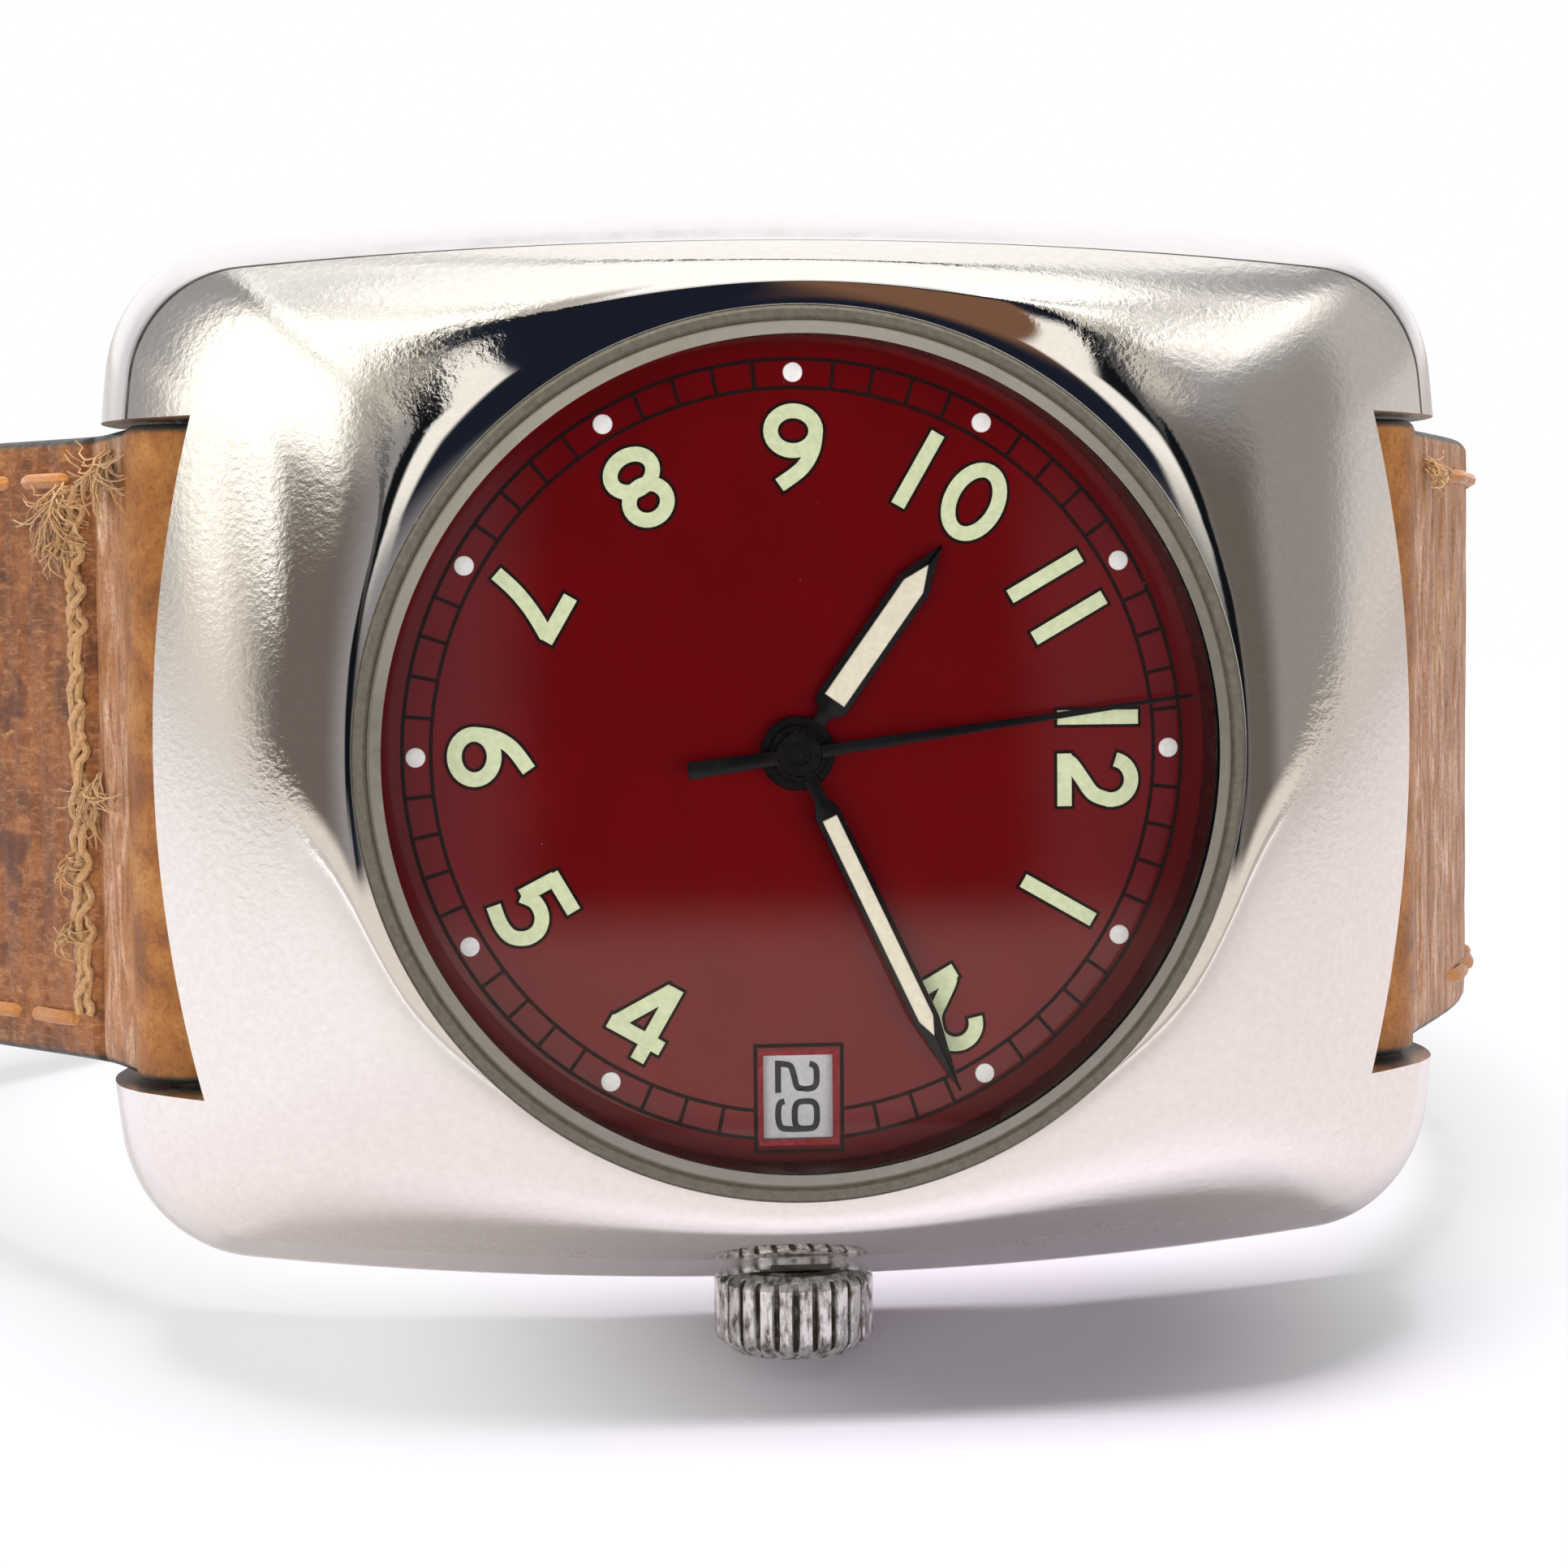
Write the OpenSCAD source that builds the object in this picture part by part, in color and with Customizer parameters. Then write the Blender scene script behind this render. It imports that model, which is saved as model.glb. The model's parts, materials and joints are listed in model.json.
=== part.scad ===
// Mechanical wrist watch: cushion case, hand-wound calendar movement, leather strap.
// It stands on its crown and on its buckle, with the dial facing -Y and 12 o'clock towards +X.
// The pieces are drawn lying down: dial plane at z = 0, 12 o'clock towards +Y, 3 o'clock towards +X.

/* [Case] */
// Width of the case across 9 and 3 o'clock
case_width = 33; // [32.4:0.1:36]
// Length of the case over the lugs
case_length = 43.6; // [43:0.1:46]
// Radius of the case corners seen from the front
corner_radius = 4.4; // [3.5:0.1:6]
// Curve radius of the long sides
side_arc = 230; // [180:5:400]
// Curve radius of the ends
end_arc = 100; // [80:5:200]
// Radius on which the case bends back towards the wrist
wrist_bend = 70; // [60:1:120]
// Height of the lip over the dial at 12, 3, 6 and 9 o'clock
lip_height = 2.6; // [2.4:0.1:3.2]
// Further rise of the lip between them
lip_rise = 0.4; // [0.2:0.1:1]
// Reach of the polished lip from the centre at 12, 3, 6 and 9 o'clock
lip_radius = 13.95; // [13.9:0.05:14.2]
// Squareness of the lip, 2 is round
lip_power = 3.3; // [2.4:0.1:4]
// Height of the crisp edge between the top and the side walls
ridge_height = 0.6; // [0.2:0.1:1.2]
// Inset of that edge from the widest outline
ridge_inset = 1.1; // [0.8:0.1:1.6]
// Depth of the underside below the dial
case_depth = 5.3; // [5.3:0.1:6.5]

/* [Crystal] */
// Radius of the crystal
crystal_radius = 12.85; // [12.7:0.05:13]
// Thickness of the crystal
crystal_thickness = 1.25; // [1:0.05:1.5]
// Free height over the dial for the hands
hand_room = 1.75; // [1.7:0.05:2]
// Radial thickness of the gasket round the crystal
gasket_width = 0.42; // [0.35:0.01:0.45]

/* [Crown] */
// Crown diameter
crown_diameter = 5; // [4.4:0.1:5.6]
// Crown length
crown_length = 2.7; // [2.4:0.1:3.4]
// Number of flutes on the crown
crown_flutes = 25; // [18:1:32]
// Depth of the flutes
flute_depth = 0.2; // [0.1:0.02:0.3]
// Travel of the crown to the time-setting position
crown_pull = 1.3; // [0.8:0.1:1.5]

/* [Dial and hands] */
// Dial radius
dial_radius = 13.05; // [12.9:0.05:13.1]
// Dial thickness
dial_thickness = 0.4; // [0.3:0.05:0.45]
// Distance of the date window from the centre
date_reach = 10.6; // [10.4:0.05:10.8]
// Size of the date window along the radius
date_window_long = 2.6; // [2.2:0.1:2.8]
// Size of the date window across the radius
date_window_wide = 2.15; // [1.8:0.05:2.4]
// Length of the hour hand
hour_length = 7.7; // [7:0.1:8.5]
// Length of the minute hand
minute_length = 11.45; // [10.5:0.05:11.9]
// Length of the seconds hand
seconds_length = 12.1; // [11:0.1:12.3]
// Length of its counterweight tail
seconds_tail = 3.4; // [2.5:0.1:4.5]
// Hour shown
shown_hour = 10; // [0:1:11]
// Minute shown
shown_minute = 10.8; // [0:0.2:60]
// Second shown
shown_second = 58.7; // [0:0.1:60]

/* [Strap and buckle] */
// Strap width
strap_width = 20; // [19:0.1:20.2]
// Gap between the strap and each lug
lug_gap = 0.3; // [0.25:0.05:0.5]
// Leather thickness of one run of the strap
strap_thickness = 2.2; // [1.8:0.1:2.4]
// Radius of the strap fold round the spring bar
fold_radius = 2.15; // [2:0.05:2.3]
// Distance of the spring bars from the centre
bar_reach = 18.5; // [18.2:0.1:18.8]
// Depth of the spring bars below the dial
bar_depth = 4.9; // [4.8:0.1:5.2]
// Gap between the strap and each arm of the buckle
buckle_gap = 0.1; // [0.1:0.05:0.5]
// Distance from the buckle bar to its bow
buckle_reach = 11.6; // [11:0.1:13]
// Radius of the buckle's round wire
buckle_wire = 1.2; // [1:0.05:1.4]
// Radius of the buckle bar
buckle_bar_radius = 0.75; // [0.6:0.05:0.8]
// Spacing of the strap holes
hole_pitch = 6.5; // [6:0.1:8]
// Radius of the strap holes
hole_radius = 1.1; // [0.9:0.05:1.3]

/* [Movement] */
// Radius of the main plate
plate_radius = 12.8; // [12.6:0.05:12.9]
// Teeth of the barrel
barrel_teeth = 84; // [72:1:96]
// Teeth of the centre wheel
centre_teeth = 80; // [72:1:84]
// Teeth of the third wheel
third_teeth = 75; // [70:1:80]
// Teeth of the fourth wheel
fourth_teeth = 80; // [72:1:84]
// Teeth of the escape wheel
escape_teeth = 15; // [15:1:21]
// Radius of the balance wheel rim
balance_radius = 3.7; // [3.3:0.1:3.8]

/* [Hidden] */
$fn = 96;
eps = 0.01;
press = 0.01;
running = 0.03;
soft_gap = 0.3;

// Colours
steel = "silver";
brass = "goldenrod";
rhodium = "gainsboro";
leather = [0.55, 0.33, 0.16];
lume = [0.86, 0.85, 0.72];

// Levels below and above the dial plane
rehaut_top = hand_room;
crystal_top = hand_room + crystal_thickness;
dial_bottom = -dial_thickness;
date_top = dial_bottom - 0.05;
date_thickness = 0.4;
date_bottom = date_top - date_thickness;
plate_top = date_bottom - 0.07;
plate_floor = plate_top - 1.1;
bridge_seat = plate_floor - 1.65;
bridge_thickness = 0.8;
bridge_back = bridge_seat - bridge_thickness;
stem_z = -2.4;
half_w = case_width / 2;
half_l = case_length / 2;
lug_space = strap_width + 2 * lug_gap;
buckle_width = strap_width + 2 * buckle_gap + 4 * buckle_wire;

// Radii of the bores
crystal_bore = crystal_radius + gasket_width + press;
rehaut_bore = 12.65;
dial_bore = dial_radius + 0.1;
movement_bore = 13.9;
back_thread = 14.1;
back_flange = 14.8;

// Small functions
function polar(r, a) = r * [cos(a), sin(a)];
function mix(a, b, t) = a + (b - a) * t;
function sum(v, i = 0) = i < len(v) ? v[i] + sum(v, i + 1) : 0;
function bend(y) = y * y / (2 * wrist_bend);
function clock(minutes) = -6 * minutes;

// Case outline: long side arc, corner arc and end arc, each tangent to the next
side_steps = 7;
corner_steps = 9;
end_steps = 6;
function corner_centre(a, b, rc) =
    let (p1 = [a - side_arc, 0], p2 = [0, b - end_arc], d = norm(p2 - p1), u = (p2 - p1) / d)
    let (r1 = side_arc - rc, r2 = end_arc - rc, k = (r1 * r1 - r2 * r2 + d * d) / (2 * d))
    p1 + k * u + sqrt(r1 * r1 - k * k) * [-u.y, u.x];
function quarter_outline(a, b, rc) =
    let (c = corner_centre(a, b, rc))
    let (a1 = atan2(c.y, c.x - a + side_arc), a2 = atan2(c.y - b + end_arc, c.x))
    concat(
        [for (i = [0:side_steps - 1]) [a - side_arc, 0] + polar(side_arc, a1 * i / side_steps)],
        [for (i = [0:corner_steps - 1]) c + polar(rc, mix(a1, a2, i / corner_steps))],
        [for (i = [0:end_steps]) [0, b - end_arc] + polar(end_arc, mix(a2, 90, i / end_steps))]
    );
function ring_from_quarter(q) =
    let (n = len(q) - 1)
    concat(
        [for (i = [0:n - 1]) q[i]],
        [for (i = [n:-1:1]) [-q[i].x, q[i].y]],
        [for (i = [0:n - 1]) -q[i]],
        [for (i = [n:-1:1]) [q[i].x, -q[i].y]]
    );
function outline(inset, rc) = ring_from_quarter(quarter_outline(half_w - inset, half_l - inset, rc));

// Case surface: each ring is a list of points from the underside up to the lip
ridge_ring = outline(ridge_inset, corner_radius - ridge_inset * 0.6);
function lip_reach(a) =
    lip_radius / pow(pow(abs(cos(a)), lip_power) + pow(abs(sin(a)), lip_power), 1 / lip_power);
function lip_point(p) =
    let (a = atan2(p.y, p.x), r = lip_reach(a), full = lip_radius * (pow(2, 0.5 - 1 / lip_power) - 1))
    [r * cos(a), r * sin(a), lip_height + lip_rise * (r - lip_radius) / full];
function wall_ring(inset, z) =
    [for (p = outline(inset, corner_radius - inset * 0.6)) [p.x, p.y, z - bend(p.y)]];
function top_ring(f) =
    [for (p = ridge_ring)
        let (l = lip_point(p), e = [p.x, p.y, ridge_height - bend(p.y)], q = mix(l, e, f))
        [q.x, q.y, l.z - (l.z - e.z) * pow(f, 1.7)]];
inner_lip = crystal_bore + 0.2;
case_rings = concat(
    [for (w = [[2.6, -case_depth], [0.75, -case_depth], [0.3, -case_depth + 0.5], [0.08, -3.7],
        [0, -2.6], [0.12, -1.4], [0.45, -0.3]]) wall_ring(w[0], w[1])],
    [for (f = [1, 0.93, 0.84, 0.72, 0.58, 0.42, 0.26, 0.12, 0]) top_ring(f)],
    [[for (p = ridge_ring) let (q = polar(inner_lip, atan2(p.y, p.x))) [q.x, q.y, lip_height - 0.1]]]
);

// Closed solid from a stack of rings, with a centre point at each end
module loft(rings) {
    n = len(rings[0]);
    m = len(rings);
    low = [0, 0, sum([for (p = rings[0]) p.z]) / n];
    high = [0, 0, sum([for (p = rings[m - 1]) p.z]) / n];
    points = concat([for (r = rings) each r], [low, high]);
    faces = concat(
        [for (j = [0:m - 2], i = [0:n - 1]) [j * n + i, (j + 1) * n + i, j * n + (i + 1) % n]],
        [for (j = [0:m - 2], i = [0:n - 1])
            [(j + 1) * n + i, (j + 1) * n + (i + 1) % n, j * n + (i + 1) % n]],
        [for (i = [0:n - 1]) [m * n, i, (i + 1) % n]],
        [for (i = [0:n - 1]) [m * n + 1, (m - 1) * n + (i + 1) % n, (m - 1) * n + i]]
    );
    polyhedron(points, faces, convexity = 10);
}

module disc(r, z0, z1) {
    translate([0, 0, min(z0, z1)]) cylinder(r = r, h = abs(z1 - z0));
}

module ring(r_out, r_in, z0, z1) {
    difference() {
        disc(r_out, z0, z1);
        disc(r_in, min(z0, z1) - 1, max(z0, z1) + 1);
    }
}

module plate_shape(z0, z1) {
    translate([0, 0, min(z0, z1)]) linear_extrude(abs(z1 - z0)) children();
}

// Strap notch seen from the front: its inner edge is the curved hood over the strap
hood_mid = half_l - 2.4;
hood_sag = 1.4;
hood_arc = (pow(lug_space / 2, 2) + hood_sag * hood_sag) / (2 * hood_sag);
notch_depth = 20;
module strap_notch() {
    plate_shape(-notch_depth, notch_depth) difference() {
        translate([-lug_space / 2, bar_reach - notch_depth / 2]) square([lug_space, notch_depth]);
        translate([0, hood_mid - hood_arc]) circle(r = hood_arc, $fn = 240);
    }
    translate([-lug_space / 2, bar_reach, -bar_depth]) {
        rotate([0, 90, 0]) cylinder(r = fold_radius + soft_gap, h = lug_space);
        translate([0, -fold_radius - soft_gap, -notch_depth]) cube([lug_space, notch_depth, notch_depth]);
    }
}

bar_tip = 1.1;
module case_body() {
    color(steel) difference() {
        loft(case_rings);
        disc(crystal_bore, rehaut_top, 10);
        translate([0, 0, -0.2]) cylinder(r1 = rehaut_bore, r2 = rehaut_bore + 0.15, h = rehaut_top + 0.4);
        disc(dial_bore, -1, 0);
        disc(movement_bore, -20, dial_bottom);
        disc(back_thread + 0.1, -20, bridge_back - 0.2);
        disc(back_flange + 0.1, -20, -case_depth);
        for (s = [0, 180]) rotate([0, 0, s]) {
            strap_notch();
            translate([-lug_space / 2 - bar_tip - 0.1, bar_reach, -bar_depth])
                rotate([0, 90, 0]) cylinder(r = 0.45, h = lug_space + 2 * bar_tip + 0.2);
        }
        translate([12, 0, stem_z]) rotate([0, 90, 0]) cylinder(r = tube_radius + press, h = 10);
        translate([crown_seat, 0, stem_z]) rotate([0, 90, 0]) cylinder(r = crown_diameter / 2 + 0.35, h = 10);
    }
}

module spring_bars() {
    color(steel) for (s = [0, 180]) rotate([0, 0, s]) translate([0, bar_reach, -bar_depth]) {
        rotate([0, 90, 0]) cylinder(r = 0.75, h = lug_space - 0.3, center = true);
        rotate([0, 90, 0]) cylinder(r = 0.4, h = lug_space + 2 * bar_tip, center = true);
    }
}

module crystal() {
    color([0.85, 0.92, 0.95, 0.35]) {
        disc(crystal_radius, rehaut_top + press, crystal_top - 0.2);
        translate([0, 0, crystal_top - 0.2]) cylinder(r1 = crystal_radius, r2 = crystal_radius - 0.25, h = 0.2);
    }
}

module crystal_gasket() {
    color("darkkhaki") ring(crystal_bore - press, crystal_radius + press, rehaut_top + press, crystal_top - 0.25);
}

// Case back with six key notches
back_outer = case_depth + 0.85;
module case_back() {
    color(steel) difference() {
        union() {
            disc(back_flange, -back_outer, -case_depth - press);
            disc(back_thread, -case_depth - eps, bridge_back - 0.3);
        }
        disc(back_thread - 0.7, bridge_back - 0.55, 0);
        for (i = [0:5]) rotate([0, 0, 60 * i]) translate([back_flange - 1.9, 0, -back_outer - 1])
            linear_extrude(1.4) square([1.2, 2.2], center = true);
        ring(back_thread + 1, back_thread - 0.25, -case_depth - eps, -case_depth + 0.3);
    }
}

module case_back_gasket() {
    color("dimgray") ring(back_thread + 0.05, back_thread - 0.2, -case_depth + 0.02, -case_depth + 0.28);
}

// Crown, its tube and the stem lie on the line towards 3 o'clock
crown_seat = half_w - 0.5;
crown_start = crown_seat + 0.12;
crown_end = crown_start + crown_length;
crown_cavity = crown_start + 1.5;
tube_radius = 1.25;
tube_head = 1.45;
stem_radius = 0.45;
function flute_outline() = [
    for (i = [0:crown_flutes - 1], k = [0:3])
        let (r = crown_diameter / 2 - (k == 0 || k == 3 ? flute_depth : 0))
        polar(r, 360 / crown_flutes * (i + [-0.36, -0.2, 0.2, 0.36][k]))];
module along_stem(x) {
    translate([x, 0, stem_z]) rotate([0, 90, 0]) children();
}

module crown() {
    r = crown_diameter / 2;
    color(steel) along_stem(crown_start) difference() {
        intersection() {
            linear_extrude(crown_length) polygon(flute_outline());
            rotate_extrude() polygon([[0, 0], [r - 0.35, 0], [r + 0.05, 0.4],
                [r + 0.05, crown_length - 0.4], [r - 0.35, crown_length], [0, crown_length]]);
        }
        translate([0, 0, -1]) cylinder(r = tube_head + 0.35, h = crown_cavity - crown_start + 1);
        translate([0, 0, -1]) cylinder(r = stem_radius + press, h = crown_length);
    }
}

module crown_gasket() {
    color("black") along_stem(crown_start + 0.55) difference() {
        cylinder(r = tube_head + 0.32, h = 0.4);
        translate([0, 0, -1]) cylinder(r = tube_head + running, h = 3);
    }
}

module case_tube() {
    color(steel) difference() {
        union() {
            along_stem(movement_bore + 0.1) cylinder(r = tube_radius, h = crown_seat - movement_bore - 0.1);
            along_stem(crown_seat) cylinder(r = tube_head, h = 1.35);
        }
        along_stem(10) cylinder(r = stem_radius + running, h = 10);
    }
}

stem_tip = 6.9;
groove_x = 10.35;
groove_long = 0.8;
module winding_stem() {
    color(steel) {
        along_stem(stem_tip) cylinder(r = 0.25, h = 0.7);
        along_stem(stem_tip + 0.7) cylinder(r = stem_radius, h = groove_x - stem_tip - 0.7);
        along_stem(groove_x) cylinder(r = 0.25, h = groove_long);
        along_stem(groove_x + groove_long) cylinder(r = stem_radius, h = crown_end - 1 - groove_x - groove_long);
    }
}

// Gear with straight-sided teeth; turn is the angle of its first tooth
function gear_points(teeth, module_mm, turn) = [
    for (i = [0:teeth - 1], k = [0:3])
        let (r = module_mm * (teeth / 2 + (k == 0 || k == 3 ? -1.2 : 0.95)))
        polar(r, turn + 360 / teeth * (i + [-0.3, -0.11, 0.11, 0.3][k]))];
module toothed(teeth, module_mm, turn, z0, z1) {
    plate_shape(z0, z1) polygon(gear_points(teeth, module_mm, turn));
}
module wheel(teeth, module_mm, turn, z0, z1, arms, hub) {
    r = module_mm * (teeth / 2 - 2.6);
    plate_shape(z0, z1) difference() {
        polygon(gear_points(teeth, module_mm, turn));
        difference() {
            circle(r = r);
            circle(r = hub);
            for (i = [0:arms - 1]) rotate(360 / arms * i) translate([0, -0.18]) square([r + 1, 0.36]);
        }
    }
}
// Angle of a gear's first tooth so that it meshes with a gear seen from it at angle towards
function mesh_turn(teeth_a, turn_a, teeth_b, towards) =
    towards + 180 - (0.5 - (towards - turn_a) * teeth_a / 360) * 360 / teeth_b;

// Going train: modules, pinions and axes
train_module = 0.1;
barrel_module = 0.13;
centre_pinion = 12;
third_pinion = 10;
fourth_pinion = 10;
escape_pinion = 8;
train_reach = train_module * (centre_teeth + third_pinion) / 2;
third_module = 2 * train_reach / (third_teeth + fourth_pinion);
escape_reach = train_module * (fourth_teeth + escape_pinion) / 2;
barrel_reach = barrel_module * (barrel_teeth + centre_pinion) / 2;
crown_wheel_x = 7.3;
winding_module = 0.16;
crown_wheel_teeth = 30;
ratchet_teeth = 66;
winding_reach = winding_module * (crown_wheel_teeth + ratchet_teeth) / 2;
barrel_angle = acos((barrel_reach * barrel_reach + crown_wheel_x * crown_wheel_x
    - winding_reach * winding_reach) / (2 * barrel_reach * crown_wheel_x));
third_angle = barrel_angle + 147;
escape_angle = -47;
balance_angle = -99;
balance_reach = 7.9;
barrel_at = polar(barrel_reach, barrel_angle);
third_at = polar(train_reach, third_angle);
escape_at = polar(escape_reach, escape_angle);
balance_at = polar(balance_reach, balance_angle);
escape_radius = 2.2;
pallet_reach = escape_radius / cos(30);
lever_angle = atan2((balance_at - escape_at).y, (balance_at - escape_at).x);
fork_at = escape_at + polar(pallet_reach, lever_angle);

centre_z = [plate_floor - 0.06, plate_floor - 0.21];
barrel_z = [plate_floor - 0.33, plate_floor - 1.36];
third_z = [plate_floor - 0.85, plate_floor - 1.0];
fourth_z = [plate_floor - 1.43, plate_floor - 1.55];
escape_z = [plate_floor - 1.12, plate_floor - 1.25];
balance_z = [bridge_seat - 0.12, bridge_seat - 0.4];
barrel_turn = 0;
centre_pinion_turn = mesh_turn(barrel_teeth, barrel_turn, centre_pinion, barrel_angle + 180);
third_pinion_turn = mesh_turn(centre_teeth, 0, third_pinion, third_angle);
fourth_pinion_turn = mesh_turn(third_teeth, 0, fourth_pinion, third_angle + 180);
escape_pinion_turn = mesh_turn(fourth_teeth, 0, escape_pinion, escape_angle);

module at(p) {
    translate([p.x, p.y, 0]) children();
}

// Nested tubes of the hands
seconds_post = 0.1;
centre_arbor = [0.15, 0.3];
cannon_tube = [centre_arbor[1] + press, 0.5];
hour_pipe = [cannon_tube[1] + running, 0.75];
hour_z = [0.42, 0.6];
minute_z = [0.82, 0.98];
seconds_z = [1.22, 1.34];
hand_top = 1.5;

module centre_wheel() {
    color(brass) difference() {
        union() {
            wheel(centre_teeth, train_module, 0, centre_z[0], centre_z[1], 5, 0.9);
            toothed(centre_pinion, barrel_module, centre_pinion_turn, centre_z[1] + eps, barrel_z[0] - 0.4);
            disc(centre_arbor[1], barrel_z[0] - 0.45, seconds_z[0] - 0.2);
        }
        disc(centre_arbor[0], -10, 10);
    }
}

module third_wheel() {
    color(brass) at(third_at) {
        toothed(third_pinion, train_module, third_pinion_turn, centre_z[0] + 0.03, centre_z[1] - 0.05);
        wheel(third_teeth, third_module, 0, third_z[0], third_z[1], 4, 0.7);
        disc(0.25, plate_floor - 0.01, bridge_seat + 0.08);
        disc(pivot, plate_floor + jewel_height, bridge_seat - jewel_height);
    }
}

module fourth_wheel() {
    color(brass) {
        wheel(fourth_teeth, train_module, 0, fourth_z[0], fourth_z[1], 5, 0.8);
        toothed(fourth_pinion, third_module, fourth_pinion_turn, third_z[0] + 0.05, fourth_z[0] - eps);
        disc(seconds_post, bridge_seat - jewel_height, hand_top);
    }
}

// Escape wheel: club teeth leaning forward
function escape_points() = [
    for (i = [0:escape_teeth - 1], k = [0:4])
        let (r = escape_radius - [0.6, 0.5, 0, 0.04, 0.6][k])
        polar(r, 360 / escape_teeth * (i + [-0.34, 0.1, 0.2, 0.34, 0.22][k]))];
module escape_wheel() {
    color(rhodium) at(escape_at) {
        plate_shape(escape_z[0], escape_z[1]) difference() {
            polygon(escape_points());
            difference() {
                circle(r = escape_radius - 0.85);
                circle(r = 0.45);
                for (i = [0:3]) rotate(90 * i) translate([0, -0.12]) square([escape_radius, 0.24]);
            }
        }
        toothed(escape_pinion, train_module, escape_pinion_turn, escape_z[1] + eps, fourth_z[1] - 0.04);
        disc(0.2, plate_floor - 0.01, escape_z[0] - eps);
        disc(pivot, plate_floor + jewel_height, bridge_seat - jewel_height);
    }
}

// Pallet fork: two arms with stones, a lever and a forked end short of the roller pin
stone_gap = 0.06;
roller_radius = 0.9;
fork_length = norm(balance_at - fork_at) - roller_radius - 0.22;
fork_z = [escape_z[0] + 0.02, escape_z[1] - 0.02];
module pallet_fork() {
    reach = escape_radius + stone_gap;
    color(rhodium) at(fork_at) rotate([0, 0, lever_angle]) {
        plate_shape(fork_z[0], fork_z[1]) {
            circle(r = 0.32, $fn = 48);
            translate([0, -0.16]) square([fork_length - 0.3, 0.32]);
            difference() {
                translate([fork_length - 0.5, -0.4]) square([0.5, 0.8]);
                translate([fork_length - 0.28, -0.15]) square([1, 0.3]);
            }
            for (s = [-1, 1]) polygon([[0.2, s * 0.25], [-0.2, 0],
                [-pallet_reach + reach * cos(30), s * reach * sin(30)],
                [-pallet_reach + (reach + 0.34) * cos(33), s * (reach + 0.34) * sin(33)]]);
        }
        disc(pivot, plate_floor + jewel_height, pallet_cover - 0.02);
        disc(0.2, plate_floor - 0.01, fork_z[0] - eps);
    }
}

pallet_cover = fork_z[1] - 0.3;
module pallet_bridge() {
    color(rhodium) difference() {
        plate_shape(fork_z[1] - 0.06, pallet_cover) hull() {
            translate(fork_at) circle(r = 0.75, $fn = 32);
            translate(fork_at + polar(2.2, lever_angle + 90)) circle(r = 0.9, $fn = 32);
        }
        at(fork_at) disc(pivot + running, -10, 0);
    }
}

module balance_wheel() {
    color(brass) at(balance_at) {
        ring(balance_radius, balance_radius - 0.45, balance_z[0], balance_z[1]);
        plate_shape(balance_z[0] - 0.08, balance_z[1] + 0.05) {
            circle(r = 0.6, $fn = 48);
            for (i = [0:2]) rotate(120 * i + 30) translate([0, -0.22]) square([balance_radius - 0.2, 0.44]);
        }
        disc(0.2, plate_floor - 0.02, cock_face + 0.02);
        disc(pivot, plate_floor + jewel_height, cock_face - jewel_height);
        disc(1.15, fork_z[1] - 0.25, fork_z[1] - 0.1);
        rotate([0, 0, lever_angle + 180 - 75]) translate([roller_radius, 0, 0]) disc(0.12, fork_z[0], fork_z[1] - 0.2);
    }
}

// Hairspring: flat spiral strip from the collet to its stud
spring_turns = 9;
spring_start = 0.65;
spring_pitch = 0.2;
spring_strip = 0.05;
function spiral(r0, pitch, turns, side) = [
    for (i = [0:turns * 24]) polar(r0 + pitch * i / 24 + side, 15 * i)];
function spiral_strip(r0, pitch, turns, strip) = concat(
    spiral(r0, pitch, turns, strip / 2),
    let (inner = spiral(r0, pitch, turns, -strip / 2)) [for (i = [len(inner) - 1:-1:0]) inner[i]]);
module hairspring() {
    color("steelblue") at(balance_at) plate_shape(balance_z[1] - 0.1, balance_z[1] - 0.28)
        polygon(spiral_strip(spring_start, spring_pitch, spring_turns, spring_strip));
}

// Barrel with its cover, arbor and wound mainspring
drum_radius = barrel_module * (barrel_teeth / 2 - 1.9);
drum_wall = 0.3;
drum_floor = 0.15;
barrel_arbor_radius = 0.5;
module barrel_drum() {
    color(brass) at(barrel_at) difference() {
        union() {
            toothed(barrel_teeth, barrel_module, barrel_turn, barrel_z[0], barrel_z[0] - 0.3);
            disc(drum_radius, barrel_z[0] - 0.29, barrel_z[1] + 0.12);
        }
        disc(drum_radius - drum_wall, barrel_z[0] - drum_floor, -10);
        disc(barrel_arbor_radius + running, -10, 10);
    }
}

module barrel_cover() {
    color(brass) at(barrel_at)
        ring(drum_radius - press, barrel_arbor_radius + running, barrel_z[1] + 0.12 - press, barrel_z[1]);
}

module barrel_arbor() {
    color(steel) at(barrel_at) {
        disc(barrel_arbor_radius, barrel_z[0] + 0.12, ratchet_z[1]);
        disc(1.1, barrel_z[0] - drum_floor - 0.05, barrel_z[1] + 0.17);
    }
}

mainspring_strip = 0.1;
module mainspring() {
    color("lightslategray") at(barrel_at)
        plate_shape(barrel_z[0] - drum_floor - 0.05, barrel_z[1] + 0.18)
            polygon(spiral_strip(1.25, 0.26, 13, mainspring_strip));
}

// Winding train over the barrel bridge
crown_wheel_at = [crown_wheel_x, 0];
ratchet_z = [bridge_back + 0.3, bridge_back + 0.04];
crown_wheel_z = [bridge_seat - 0.18, bridge_back + 0.04];
winding_angle = atan2((barrel_at - crown_wheel_at).y, (barrel_at - crown_wheel_at).x);
ratchet_turn = mesh_turn(crown_wheel_teeth, 0, ratchet_teeth, winding_angle);
module crown_wheel() {
    color(steel) at(crown_wheel_at) difference() {
        toothed(crown_wheel_teeth, winding_module, 0, crown_wheel_z[0], crown_wheel_z[1]);
        disc(0.9 + running, -10, 10);
    }
}

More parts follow.
